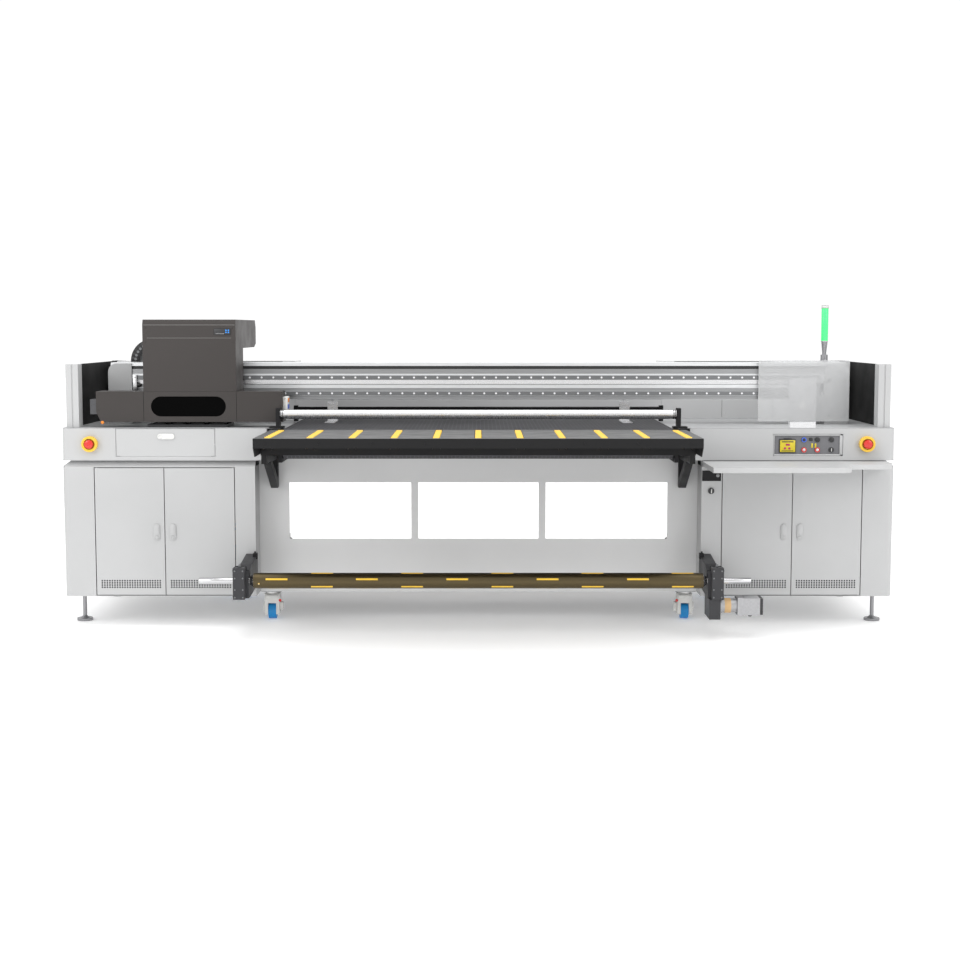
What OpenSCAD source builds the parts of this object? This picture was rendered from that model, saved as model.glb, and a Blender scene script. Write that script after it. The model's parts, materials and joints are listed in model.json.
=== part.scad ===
// Hybrid flatbed ultraviolet printer: belt-fed table, moving print carriage, take-up roll.
// Frame: X across the machine, +Y to the rear, +Z up; the origin is on the floor under the centre.
// Inside every sub-part, y = 0 is the front face of the body; in_place() shifts it to the frame.

/* [Body] */
// Overall width over the outer cabinet sides
body_w = 4120; // [3900:20:5000]
// Depth of the body, front face to rear face
body_depth = 1140; // [940:10:1400]
// Height of the deck, the belt and the tables
deck_z = 995; // [940:5:1200]
// Clear width between the two cabinets
bay_w = 2212; // [2180:4:2260]
// Height of the cabinet undersides above the floor
cabinet_z = 155; // [130:5:190]
// Height of the upper front panels
fascia_h = 161; // [135:1:185]
// Height of the shadow gap under the upper front panels
seam_h = 31; // [16:1:50]
// Depth of the shadow gap behind the front face
seam_inset = 35; // [20:1:60]
// Thickness of the sheet metal
sheet_t = 3; // [2:0.5:4]
// Outer corner radius of the body, seen from above
corner_r = 30; // [10:1:60]
// Side of the square frame tubes
tube = 54; // [50:1:90]

/* [Doors] */
// Width of the fixed strip between the bay and the first door
stile_w = 104; // [40:1:160]
// Width of the fixed corner column outside the doors
column_w = 156; // [100:1:220]
// Thickness of a door
door_t = 14; // [12:1:24]
// Gap round each door
door_gap = 4; // [3:0.5:8]
// Columns of air holes in each door
vent_columns = 24; // [4:1:28]
// Rows of air holes in each door
vent_rows = 4; // [1:1:6]
// Side of one square air hole
vent_hole = 7.5; // [3:0.5:8]
// Height of a door pull
pull_h = 84; // [60:1:120]
// Width of a door pull
pull_w = 31; // [20:1:45]

/* [Tables] */
// Width of the front and rear tables
table_w = 2012; // [1980:2:2060]
// Length of each table, from its rear edge to its front edge
table_l = 622; // [450:2:800]
// Height of the table's edge flange
skirt_h = 44; // [36:1:60]
// Depth of the wings under the table's sides
wing_h = 42; // [20:1:60]
// Number of wheel strips in each table
strip_count = 11; // [3:2:11]
// Distance between wheel strips
strip_pitch = 189.5; // [120:0.5:194]
// Wheels in each strip
wheel_count = 9; // [3:1:10]
// Diameter of a table wheel
wheel_d = 50; // [30:1:56]
// Width of a table wheel
wheel_w = 28; // [16:1:40]
// How far the wheels stand above the table
wheel_proud = 3; // [1:0.5:6]

/* [Print belt] */
// Width of the print belt
belt_w = 1900; // [1860:2:1904]
// Thickness of the print belt
belt_t = 3; // [2:0.5:5]
// Diameter of the belt rollers
roller_d = 140; // [110:1:150]
// Thickness of the belt unit's side plates
cheek_t = 20; // [12:1:22]

/* [Gantry] */
// Distance of the beam's front face behind the body's front face
beam_y = 330; // [330:1:360]
// Depth of the beam
beam_d = 160; // [120:1:180]
// Height of the beam
beam_h = 189; // [160:1:220]
// Clear height between the deck and the beam
beam_clear = 126; // [120:1:160]
// Distance between the two guide rails
rail_gap = 81; // [70:1:100]
// Width of a guide rail
rail_w = 20; // [15:1:23]
// Distance between rail bolts
bolt_pitch = 60; // [60:20:160]
// Height of the side walls above the deck
wall_h = 313; // [300:1:360]

/* [Carriage] */
// Carriage centre at its park position
park_x = -1433; // [-1440:1:-1400]
// Travel of the carriage
travel = 2390; // [800:10:2390]
// Width of the carriage skirt
skirt_w = 924; // [860:2:930]
// Height of the carriage skirt
skirt_side_h = 151; // [140:1:170]
// Gap between the deck and the skirt
head_gap = 27; // [26:1:40]
// Width of the upper cover
cover_w = 460; // [380:1:500]
// Height of the upper cover
cover_h = 355; // [340:1:420]

/* [Roll shafts] */
// Diameter of a roll shaft
shaft_d = 75; // [60:1:90]
// Length of a roll shaft's body
shaft_l = 2150; // [2000:10:2160]
// Diameter of the shaft journals
journal_d = 28; // [20:1:34]
// Height of the shaft axis above the cabinet undersides
shaft_up = 126; // [110:1:200]
// Distance of the shaft axis in front of the body
shaft_out = 300; // [260:1:340]
// Thickness of a roll bracket
bracket_t = 64; // [40:1:80]

/* [Feet and wheels] */
// Diameter of a caster wheel
caster_d = 80; // [60:1:90]
// Width of a caster wheel
caster_w = 40; // [24:1:44]
// Diameter of a levelling foot
foot_d = 80; // [50:1:86]

/* [Hidden] */

$fn = 48;
run = 0.4;                       // running clearance between a turning or sliding part and its seat
touch = 0.3;                     // gap between curved faces of different parts
front_shift = -body_depth / 2;
side_x = body_w / 2;
bay_x = bay_w / 2;
fascia_z = deck_z - fascia_h;
cabinet_top = fascia_z - seam_h;
deck_under = deck_z - sheet_t;
wall_top = deck_z + wall_h;
post_inset = 82;
post_w = 62;
post_d = 78;
post_y0 = 30;
post_y1 = body_depth - 22 - post_d;

// doors
door_z0 = cabinet_z + sheet_t + door_gap;
door_z1 = cabinet_top - sheet_t - door_gap;
door_x0 = bay_x + stile_w;
door_x1 = side_x - column_w;
door_mid = (door_x0 + door_x1) / 2;
pivot_in = door_t / 2;
pivot_d = 6;
pivot_l = 10;
pull_z = cabinet_z + 322;
slope_gap = 4;                   // dark line between the sloped strip and the panel above it
slope_t = 4;

// belt unit
belt_in_r = roller_d / 2 + touch;
belt_out_r = belt_in_r + belt_t;
roller_z = deck_z - belt_out_r;
roller_y = -(belt_out_r - 1.3);
cheek_x = belt_w / 2 + 5;
cheek_reach = belt_out_r - 15;
roller_journal_d = 35;
bay_front_y = 147;               // front face of the window panels
fascia_end_x = 1045;             // inner end of the upper front panels
deck_in_x = cheek_x;

// tables
table_y1 = roller_y - belt_out_r - 4;
table_y0 = table_y1 - table_l;
plate_t = 4;
wheel_z = deck_z + wheel_proud - wheel_d / 2;
wheel_step = (table_l - 75) / wheel_count;
slot_w = wheel_w + 6;
rail_wall = 2;
cross_h = 40;
cross_z = wheel_z - wheel_d / 2 - 6 - cross_h;
arm_x0 = cheek_x + cheek_t + 1;
arm_w = 62;
gusset_top = cross_z - cross_h;
gusset_h = 175;
gusset_reach = 160;
arm_tip_w = 24;

// gantry
beam_z0 = deck_z + beam_clear;
beam_z1 = beam_z0 + beam_h;
beam_x = side_x - 175;
rail_t = 15;
rail_z = [beam_z0 + 32, beam_z0 + 32 + rail_gap];
rail_x = beam_x - 140;
cover_in_x = side_x - 285;
cover_out_x = side_x - 163;
strip_z = beam_z0 + 79;
strip_h = 23;

// carriage: x is measured from the carriage centre
skirt_z0 = deck_z + head_gap;
skirt_z1 = skirt_z0 + skirt_side_h;
carriage_y0 = 40;
cover_shift = 4;
cover_top = skirt_z1 + cover_h;
overhang_z = cover_top - 143;
overhang_y1 = 760;
wing_x = 240;                    // half width of the deep middle part of the skirt
wing_y1 = 170;
block_l = 90;
slide_plate_y = beam_y - 40;
cover_left = park_x + cover_shift - cover_w / 2;

// cable chain
chain_y = 560;
chain_w = 80;
chain_h = 50;
chain_r = 115;
chain_z0 = beam_z1 - 111;
chain_bend_x = park_x - 282;
chain_fixed_x = 0;

// roll shafts
shaft_z = cabinet_z + shaft_up;
feed_drop = 70;                    // rear shaft below the front one
bracket_x = shaft_l / 2 + 22;
clamp_x = bracket_x + 15;          // slotted block in front of the arm
journal_reach = 161;
drive_reach = 129;
arm_top = 88;

// feet and casters
caster_x = bay_x - 50;
rear_caster_x = bay_x + 200;
caster_y = 231;
foot_x = side_x - 50;
foot_y = 190;
caster_plate_z = cabinet_z - 8;
caster_trail = 10;
caster_z = caster_d / 2 + 1;      // the machine stands on its feet, so the wheels hang clear
caster_half = caster_w / 2 + 18;
axle_d = 8;

// operator fittings
estop_x = side_x - 142;
estop_z = fascia_z + 82;
estop_bore = 20;
switch_x = bay_x + 47;
shelf_end_x = side_x - 58;
switch_z = cabinet_top - 120;
panel_x0 = side_x - 603;
panel_w = 345;
panel_z0 = fascia_z + 22;
panel_h = 109;
button_z = panel_z0 + 30;
button_x = [panel_x0 + 153, panel_x0 + 219, panel_x0 + 289];
flap_x0 = -(side_x - 270);
flap_w = 487;
flap_z0 = fascia_z + 22;

module in_place() translate([0, front_shift, 0]) children();
module at_rear() translate([0, body_depth, 0]) mirror([0, 1, 0]) children();
module left_and_right() {
  children();
  mirror([1, 0, 0]) children();
}
module block(x0, x1, y0, y1, z0, z1) translate([x0, y0, z0]) cube([x1 - x0, y1 - y0, z1 - z0]);
module x_rod(x0, x1, y, z, d) translate([x0, y, z]) rotate([0, 90, 0]) cylinder(h = x1 - x0, d = d);
module y_rod(y0, y1, x, z, d) translate([x, y0, z]) rotate([-90, 0, 0]) cylinder(h = y1 - y0, d = d);
module z_rod(z0, z1, x, y, d) translate([x, y, z0]) cylinder(h = z1 - z0, d = d);
// an outline drawn as (y, z) points, extruded along x
module x_slab(x0, x1) translate([x0, 0, 0]) rotate([90, 0, 90]) linear_extrude(x1 - x0) children();
// an outline drawn as (x, z) points, extruded along y
module y_slab(y0, y1) translate([0, y1, 0]) rotate([90, 0, 0]) linear_extrude(y1 - y0) children();
// an upright oblong with round ends, centred on the origin
module oblong(w, h) {
  r = min(w, h) / 2;
  square([w - (w > h ? 2 * r : 0), h - (h > w ? 2 * r : 0)], center = true);
  for (s = [-1, 1]) translate([s * max(0, w / 2 - r), s * max(0, h / 2 - r)]) circle(r);
}
// plan outline of the body's right side with a rounded front corner
module round_plan(x0, x1, y0, y1, r) {
  translate([x0, y0 + r]) square([x1 - x0, y1 - y0 - r]);
  translate([x0, y0]) square([x1 - x0 - r, r + 0.01]);
  translate([x1 - r, y0 + r]) circle(r);
}

// ---------- body ----------
module base_frame() {
  post_y = [bay_front_y + 33, body_depth - bay_front_y - 33 - 60];
  top_z = fascia_z - tube;
  color("dimgray") in_place() {
    for (y = post_y, z = [cabinet_z, top_z]) block(-bay_x, bay_x, y, y + 60, z, z + tube);
    left_and_right() {
      for (y = post_y) block(bay_x - tube, bay_x, y, y + 60, cabinet_z + tube, top_z);
      for (z = [cabinet_z, top_z]) block(bay_x - tube, bay_x, post_y[0] + 60, post_y[1], z, z + tube);
      pedestal();
      caster_plate(caster_x, caster_y);
      caster_plate(rear_caster_x, body_depth - caster_y);
    }
  }
}

module caster_plate(x, y)
  block(x - 52, x + 52, y - 52, y + 52, caster_plate_z, cabinet_z);

// the column that carries one end of the beam
module pedestal() {
  px0 = cover_in_x + 15;
  px1 = beam_x - 5;
  py0 = beam_y + 20;
  py1 = beam_y + beam_d - 20;
  block(px0, px1, py0, py1, cabinet_z + sheet_t, cabinet_top - sheet_t);
  block(px0, px1, py0, py1, cabinet_top, deck_under);
  block(px0, px1, py0, py1, deck_z, beam_z0);
}

// sloped strip from the cabinet's outer edge up to the set-back band
slope_top = fascia_z - slope_gap;
slope_k = seam_inset / (slope_top - cabinet_top);
// wedge over the front and rear edges and wedge over the outer side, both moved inwards by t
module slope_wedge(t) {
  low = t - slope_k * t;
  far = seam_inset + t + slope_k * t;
  x_slab(bay_x - t, side_x) polygon([
    [low, cabinet_top - t], [far, slope_top + t], [body_depth - far, slope_top + t],
    [body_depth - low, cabinet_top - t]
  ]);
}
module slope_side(t) {
  low = t - slope_k * t;
  far = seam_inset + t + slope_k * t;
  y_slab(-1, body_depth + 1) polygon([
    [bay_x - t, cabinet_top - t], [bay_x - t, slope_top + t], [side_x - far, slope_top + t],
    [side_x - low, cabinet_top - t]
  ]);
}
module cabinet_slope() difference() {
  intersection() {
    slope_wedge(0);
    slope_side(0);
    translate([0, 0, cabinet_top]) linear_extrude(seam_h) round_plan(bay_x, side_x, 0, body_depth, corner_r);
  }
  intersection() {
    slope_wedge(slope_t);
    slope_side(slope_t);
  }
}

module cabinet_shell() {
  back = body_depth - sheet_t;
  // floor and top, with rounded outer corners
  for (z = [cabinet_z, cabinet_top - sheet_t]) translate([0, 0, z])
    linear_extrude(sheet_t) round_plan(bay_x, side_x, 0, body_depth, corner_r);
  inner_z0 = cabinet_z + sheet_t;
  inner_z1 = cabinet_top - sheet_t;
  // inner side, outer side and back
  block(bay_x, bay_x + sheet_t, 0, body_depth, inner_z0, inner_z1);
  block(side_x - sheet_t, side_x, column_w, body_depth, inner_z0, inner_z1);
  block(bay_x + sheet_t, side_x - sheet_t, back, body_depth, inner_z0, inner_z1);
  // fixed strip beside the bay
  block(bay_x + sheet_t, door_x0 - door_gap, 0, sheet_t, inner_z0, inner_z1);
  // corner column
  translate([0, 0, inner_z0]) linear_extrude(inner_z1 - inner_z0) difference() {
    round_plan(door_x1, side_x, 0, column_w, corner_r);
    translate([0, sheet_t])
      round_plan(door_x1 - 1, side_x - sheet_t, 0, column_w, corner_r - sheet_t);
  }
  // set-back band that makes the shadow gap
  band = side_x - seam_inset;
  block(bay_x, band, seam_inset, seam_inset + sheet_t, cabinet_top, fascia_z);
  block(band - sheet_t, band, seam_inset + sheet_t, body_depth - seam_inset, cabinet_top, fascia_z);
  block(bay_x, band, body_depth - seam_inset, body_depth - seam_inset + sheet_t, cabinet_top, fascia_z);
  cabinet_slope();
  // pivot pins of the doors
  for (x = [door_x0 + pivot_in, door_x1 - door_gap - pivot_in]) {
    z_rod(inner_z0, door_z0 + pivot_l, x, pivot_in, pivot_d);
    z_rod(door_z1 - pivot_l, inner_z1, x, pivot_in, pivot_d);
  }
}
module left_cabinet() color("gainsboro") in_place() mirror([1, 0, 0]) cabinet_shell();
module right_cabinet() color("gainsboro") in_place() difference() {
  cabinet_shell();
  // the shelf's ledge goes in here
  block(bay_x - 1, shelf_end_x, -1, seam_inset, cabinet_top, fascia_z);
  y_rod(-1, sheet_t + 1, switch_x, switch_z, 19);
}

// sheet with three see-through windows
module window_panels() color("silver") in_place() {
  window_z0 = cabinet_z + 270;
  window_h = 286;
  side_w = 615;
  middle_w = 608;
  y_slab(bay_front_y, bay_front_y + sheet_t) difference() {
    translate([-bay_x, cabinet_z]) square([bay_w, fascia_z - cabinet_z]);
    translate([-middle_w / 2, window_z0]) square([middle_w, window_h]);
    for (s = [-1, 1])
      translate([s * (middle_w / 2 + 35 + side_w / 2) - side_w / 2, window_z0]) square([side_w, window_h]);
  }
}
// upper front panel: front, rounded corner and outer side in one folded sheet, with a lip below
module fascia_shell() {
  translate([0, 0, fascia_z]) linear_extrude(deck_under - fascia_z) difference() {
    round_plan(fascia_end_x, side_x, 0, body_depth, corner_r);
    translate([0, sheet_t])
      round_plan(fascia_end_x - 1, side_x - sheet_t, 0, body_depth, corner_r - sheet_t);
  }
  block(fascia_end_x, side_x - sheet_t, sheet_t, seam_inset, fascia_z, fascia_z + sheet_t);
  block(fascia_end_x, side_x - sheet_t, body_depth - sheet_t, body_depth, fascia_z, deck_under);
}
module left_fascia() color("gainsboro") in_place() difference() {
  mirror([1, 0, 0]) fascia_shell();
  block(flap_x0 - 2, flap_x0 + flap_w + 2, -1, sheet_t + 1, flap_z0 - 2, deck_z);
  y_rod(-1, sheet_t + 1, -estop_x, estop_z, estop_bore);
}
module right_fascia() color("gainsboro") in_place() difference() {
  fascia_shell();
  block(panel_x0, panel_x0 + panel_w, -1, sheet_t + 1, panel_z0, panel_z0 + panel_h);
  y_rod(-1, sheet_t + 1, estop_x, estop_z, estop_bore);
}

module decks() color("lightgray") in_place() left_and_right()
  translate([0, 0, deck_under]) linear_extrude(sheet_t)
    round_plan(deck_in_x, side_x, 0, body_depth, corner_r);

module rear_housing() {
  hood_y = body_depth - 283;
  hood_x0 = fascia_end_x - 45;
  hood_x1 = side_x - 90;
  hood_top = wall_top - 1;
  bridge_z = deck_z + 45;
  color("gainsboro") in_place() {
    left_and_right() {
      block(hood_x0, hood_x1, hood_y, hood_y + sheet_t, deck_z, hood_top);
      block(hood_x0, hood_x1, body_depth - sheet_t, body_depth, deck_z, hood_top);
      block(hood_x0, hood_x1, hood_y + sheet_t, body_depth - sheet_t, hood_top - sheet_t, hood_top);
      for (x = [hood_x0, hood_x1 - sheet_t])
        block(x, x + sheet_t, hood_y + sheet_t, body_depth - sheet_t, deck_z, hood_top - sheet_t);
    }
    // wall between the hoods, clear of the belt
    wall_x = hood_x0 - touch;
    block(-wall_x, wall_x, hood_y, hood_y + sheet_t, bridge_z, hood_top - 60);
    block(-wall_x, wall_x, hood_y + sheet_t, body_depth - sheet_t, hood_top - 63, hood_top - 60);
    block(-wall_x, wall_x, body_depth - sheet_t, body_depth, bridge_z, hood_top - 60);
  }
}

module corner_posts() {
  groove = 6;
  for (y = [post_y0, post_y1])
    translate([side_x - post_inset, y, deck_z]) linear_extrude(wall_h) difference() {
      square([post_w, post_d]);
      for (gy = [-1, post_d - 4]) translate([post_w / 2 - groove / 2, gy]) square([groove, 5]);
    }
}
module smoked_panels() color([0.05, 0.05, 0.06]) in_place() left_and_right()
  block(side_x - 50, side_x - 44, post_y0 + post_d, post_y1, deck_z, wall_top - 2);

// upright covers round the ends of the beam
module end_covers() {
  r = 45;
  top = beam_z1 - 4;
  y1 = beam_y + beam_d + 60;
    // front face, rounded at the outer top corner
    y_slab(beam_y - 10, beam_y - 7) {
      translate([cover_in_x, deck_z]) square([cover_out_x - cover_in_x, top - r - deck_z]);
      translate([cover_in_x, deck_z]) square([cover_out_x - cover_in_x - r, top - deck_z]);
      translate([cover_out_x - r, top - r]) circle(r);
    }
    block(cover_out_x - sheet_t, cover_out_x, beam_y - 7, y1, deck_z, top - r);
    block(cover_in_x, cover_out_x, y1, y1 + sheet_t, deck_z, top - r);
}
module deck_frames() color("gainsboro") in_place() left_and_right() {
  corner_posts();
  end_covers();
}
module guard_panel() color("white", 0.6) in_place() {
  guard_x0 = cover_in_x - 344;
  guard_w = cover_out_x - guard_x0;
  guard_h = wall_h - 1;
  r = 10;
  y_slab(beam_y - 31, beam_y - 26) translate([guard_x0, deck_z + 15]) {
    translate([r, 0]) square([guard_w - 2 * r, guard_h]);
    translate([0, r]) square([guard_w, guard_h - 2 * r]);
    for (x = [r, guard_w - r], z = [r, guard_h - r]) translate([x, z]) circle(r);
  }
  // spacers in front of the end cover
  for (x = [cover_in_x + 20, cover_out_x - 20], z = [deck_z + 45, wall_top - 90])
    y_rod(beam_y - 26, beam_y - 10, x, z, 14);
}

// ---------- gantry ----------
module beam_section() {
  y0 = beam_y;
  difference() {
    translate([y0, beam_z0]) square([beam_d, beam_h]);
    translate([y0 + 10, beam_z0 + 10]) square([beam_d - 20, beam_h / 2 - 15]);
    translate([y0 + 10, beam_z0 + beam_h / 2 + 5]) square([beam_d - 20, beam_h / 2 - 15]);
    // slots along the front face
    translate([y0 - 1, beam_z1 - 33]) square([7, 17]);
    translate([y0 - 1, beam_z0 + 61]) square([4, 16]);
  }
}
module gantry_beam() {
  y1 = beam_y + beam_d;
  tray_y1 = chain_y + chain_w + 10;
  tray_t = 3;
  arm_h = 20;
  color("silver") in_place() {
    x_slab(-beam_x, beam_x) beam_section();
    // tray and arms behind the beam, under the cable chain
    block(chain_bend_x - chain_r - 2, chain_fixed_x + 60, chain_y - 4, tray_y1, chain_z0 - tray_t, chain_z0);
    for (x = [chain_bend_x + 30, chain_bend_x / 2, chain_fixed_x])
      block(x, x + 40, y1 + touch, tray_y1, chain_z0 - tray_t - arm_h, chain_z0 - tray_t - touch);
  }
}
module guide_rails() {
  bolts = floor((2 * rail_x - 60) / bolt_pitch);
  color("dimgray") in_place() for (z = rail_z) {
    block(-rail_x, rail_x, beam_y - rail_t, beam_y, z - rail_w / 2, z + rail_w / 2);
    for (i = [0 : bolts])
      y_rod(beam_y - rail_t - 1, beam_y - rail_t, (i - bolts / 2) * bolt_pitch, z, 9);
  }
}
// steel strip along the beam and the motor plate at its right end
module carriage_drive() {
  plate_x = side_x - 472;
  color("silver") in_place() {
    block(-rail_x + 10, plate_x - 2, beam_y - 2, beam_y, strip_z, strip_z + strip_h);
    block(plate_x, plate_x + 143, beam_y - 22, beam_y - 16, deck_z, beam_z0 + 110);
    block(plate_x + 20, plate_x + 123, beam_y - 16, beam_y, beam_z0 + 45, beam_z0 + 98);
    y_rod(beam_y - 23.5, beam_y - 22, plate_x + 71, deck_z + 80, 44);
    block(plate_x - 51, plate_x + 77, 2, 8, deck_z, deck_z + 28);
  }
}

// links as a plain run; the ribs repeat at every link
module chain_strip(x0, x1, z0) {
  block(x0, x1, chain_y, chain_y + chain_w, z0, z0 + chain_h);
}
module chain_lower_run() color("black") in_place() {
  chain_strip(chain_bend_x, chain_fixed_x, chain_z0);
}
module chain_upper_run() color("black") in_place()
  chain_strip(chain_bend_x, cover_left, chain_z0 + 2 * chain_r - chain_h);
module chain_bend() color("black") in_place()
  translate([chain_bend_x - touch, chain_y, chain_z0 + chain_r]) rotate([-90, 0, 0])
    linear_extrude(chain_w) intersection() {
      difference() {
        circle(chain_r);
        circle(chain_r - chain_h);
      }
      translate([-chain_r - 1, -chain_r - 1]) square([chain_r + 1, 2 * chain_r + 2]);
    }

// ---------- print belt ----------
module belt_outline(r) {
  y1 = body_depth - roller_y;
  translate([roller_y, roller_z - r]) square([y1 - roller_y, 2 * r]);
  for (y = [roller_y, y1]) translate([y, roller_z]) circle(r);
}
module print_belt() color([0.16, 0.16, 0.17]) in_place() x_slab(-belt_w / 2, belt_w / 2) difference() {
  belt_outline(belt_out_r);
  belt_outline(belt_in_r);
}
// flat bed under the upper run of the belt, stiffened by cross ribs
module vacuum_table() color("silver") in_place() {
  bed_t = 20;
  ribs = 6;
  rib_t = 12;
  bed_top = roller_z + belt_in_r - touch;
  bed_l = body_depth - 16;
  block(-cheek_x, cheek_x, 8, 8 + bed_l, bed_top - bed_t, bed_top);
  for (i = [0 : ribs - 1]) {
    y = 8 + i * (bed_l - rib_t) / (ribs - 1);
    block(-cheek_x, cheek_x, y, y + rib_t, roller_z - belt_in_r + 18, bed_top - bed_t);
  }
}

// long side plates that hold the belt rollers and the vacuum table
module belt_cheeks() color([0.12, 0.12, 0.13]) in_place() left_and_right() difference() {
  block(cheek_x, cheek_x + cheek_t, roller_y - cheek_reach, body_depth - roller_y + cheek_reach,
        fascia_z, deck_under);
  for (y = [roller_y, body_depth - roller_y])
    x_rod(cheek_x - 1, cheek_x + cheek_t + 1, y, roller_z, roller_journal_d + 2 * run);
}
module belt_roller(y) {
  x_rod(-belt_w / 2 + 2, belt_w / 2 - 2, y, roller_z, roller_d);
  x_rod(-cheek_x - cheek_t, cheek_x + cheek_t, y, roller_z, roller_journal_d);
}
module drive_roller() color("silver") in_place() belt_roller(body_depth - roller_y);
module idler_roller() color("silver") in_place() belt_roller(roller_y);

// ---------- tables ----------
module table_tray() {
  half = table_w / 2;
  skin = sheet_t;
  strip_y0 = table_y0 + 38;
  strip_l = table_l - 75 + 6;
  // top plate with one slot for each wheel strip
  difference() {
    block(-half + skin, half - skin, table_y0 + skin, table_y1, deck_z - plate_t, deck_z);
    for (i = [0 : strip_count - 1]) {
      x = (i - (strip_count - 1) / 2) * strip_pitch;
      block(x - slot_w / 2, x + slot_w / 2, strip_y0, strip_y0 + strip_l, deck_z - plate_t - 1, deck_z + 1);
    }
  }
  // flanges: front, and the sides with their wings
  block(-half, half, table_y0, table_y0 + skin, deck_z - skirt_h, deck_z);
  left_and_right() x_slab(half - skin, half) polygon([
    [table_y0 + skin, deck_z], [table_y0 + skin, deck_z - skirt_h],
    [table_y0 + 50, deck_z - skirt_h - wing_h], [table_y1, deck_z - skirt_h - wing_h], [table_y1, deck_z]
  ]);
  // walls that carry the wheel axles
  for (i = [0 : strip_count - 1], s = [-1, 1]) {
    x = (i - (strip_count - 1) / 2) * strip_pitch + s * (slot_w / 2 + rail_wall / 2);
    block(x - rail_wall / 2, x + rail_wall / 2, strip_y0, strip_y0 + strip_l,
          cross_z + cross_h, deck_z - plate_t);
  }
  // cross tubes and arms
  for (y = [table_y0 + 230, table_y1 - 60])
    block(-half + skin, half - skin, y, y + cross_h, cross_z, cross_z + cross_h);
  left_and_right() {
    block(arm_x0, arm_x0 + arm_tip_w, table_y0 + 230, bay_front_y, gusset_top, cross_z);
    block(arm_x0, arm_x0 + arm_w, -gusset_reach - 10, bay_front_y, gusset_top, cross_z);
  }
}
module tables() color([0.25, 0.25, 0.26]) in_place() {
  table_tray();
  at_rear() table_tray();
}

module table_gusset() {
  leg = 40;
  x_slab(arm_x0 + 30, arm_x0 + 66) difference() {
    polygon([
      [bay_front_y, gusset_top], [-gusset_reach, gusset_top], [-gusset_reach, gusset_top - 26],
      [bay_front_y - leg, gusset_top - gusset_h], [bay_front_y, gusset_top - gusset_h]
    ]);
    polygon([
      [bay_front_y - leg, gusset_top - 26], [-gusset_reach + 75, gusset_top - 26],
      [bay_front_y - leg, gusset_top - gusset_h + 50]
    ]);
  }
}
module table_brackets() color([0.1, 0.1, 0.11]) in_place() {
  left_and_right() table_gusset();
  at_rear() left_and_right() table_gusset();
}

module wheel_rows() {
  for (i = [0 : strip_count - 1], j = [0 : wheel_count - 1]) {
    x = (i - (strip_count - 1) / 2) * strip_pitch;
    y = table_y0 + 41 + (j + 0.5) * wheel_step;
    x_rod(x - wheel_w / 2, x + wheel_w / 2, y, wheel_z, min(wheel_d, wheel_step - 4));
    x_rod(x - slot_w / 2 + touch, x + slot_w / 2 - touch, y, wheel_z, 8);
  }
}
module table_wheels() color("gold") in_place() {
  $fn = 24;
  wheel_rows();
  at_rear() wheel_rows();
}

// ---------- web path ----------
guide_z = deck_z + 67;
guide_d = 46;
guide_journal_d = 20;
guide_x = 977;
module guide_arms() left_and_right() difference() {
  union() {
    block(guide_x, guide_x + 20, -24, 26, deck_z + 8, guide_z + 31);
    block(deck_in_x + 5, guide_x + 53, -24, 36, deck_z, deck_z + 8);
  }
  x_rod(guide_x - 1, guide_x + 21, 0, guide_z, guide_journal_d + 2 * run);
}
module guide_roller() color("silver") in_place() {
  x_rod(-guide_x + 2, guide_x - 2, 0, guide_z, guide_d);
  x_rod(-guide_x - 20, guide_x + 20, 0, guide_z, guide_journal_d);
}
rod_y = 600;
rod_z = deck_z + 68;
rod_d = 16;
module clamp_rod() {
  x_rod(-cheek_x - 2 + touch, cheek_x + 2 - touch, rod_y, rod_z, rod_d);
  left_and_right() block(cheek_x + 2, cheek_x + 24, rod_y - 15, rod_y + 15, deck_z, rod_z + 15);
}
module web_supports() color([0.08, 0.08, 0.09]) in_place() {
  guide_arms();
  clamp_rod();
}
// bent plate that slides on the rod and holds one edge of the web down
module media_guide() {
  gx = 746;
  gw = 54;
  gt = 3;
  difference() {
    block(gx, gx + gw, rod_y - 12, rod_y + 12, rod_z - 18, rod_z + 36);
    x_rod(gx - 1, gx + gw + 1, rod_y, rod_z, rod_d + 2 * run);
  }
  block(gx, gx + gw, rod_y - 15, rod_y - 12, deck_z + touch, rod_z + 36);
  block(gx, gx + gw, rod_y - 15 - 180, rod_y - 15, deck_z + touch, deck_z + touch + gt);
}
module left_media_guide() color("lightgray") in_place() mirror([1, 0, 0]) media_guide();
module right_media_guide() color("lightgray") in_place() media_guide();

// ---------- roll shafts ----------
module roll_arm() {
  slot_w = journal_d + 2 * run;
  difference() {
    union() {
      x_slab(bracket_x, bracket_x + bracket_t - 6) polygon([
        [0, shaft_z - 60], [0, shaft_z + arm_top], [-shaft_out + 120, shaft_z + arm_top - 20],
        [-shaft_out + 70, shaft_z + arm_top - 20], [-shaft_out + 25, shaft_z + 48],
        [-shaft_out - 20, shaft_z + 48], [-shaft_out - 20, shaft_z - 83], [-shaft_out + 40, shaft_z - 83]
      ]);
      block(clamp_x, clamp_x + bracket_t - 8, -shaft_out - 62, -shaft_out + 20, shaft_z - 83, shaft_z + 69);
    }
    x_rod(bracket_x - 1, clamp_x + bracket_t, -shaft_out, shaft_z, slot_w);
    block(bracket_x - 1, clamp_x + bracket_t, -shaft_out - slot_w / 2, -shaft_out + slot_w / 2,
          shaft_z, shaft_z + 200);
  }
}
module roll_brackets() color([0.2, 0.2, 0.21]) in_place() {
  left_and_right() roll_arm();
  at_rear() translate([0, 0, -feed_drop]) left_and_right() roll_arm();
  // lower housing of the take-up drive
  block(bracket_x + 4, bracket_x + bracket_t - 6, -shaft_out - 54, -shaft_out + 110,
        shaft_z - 180, shaft_z - 83);
}
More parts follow.
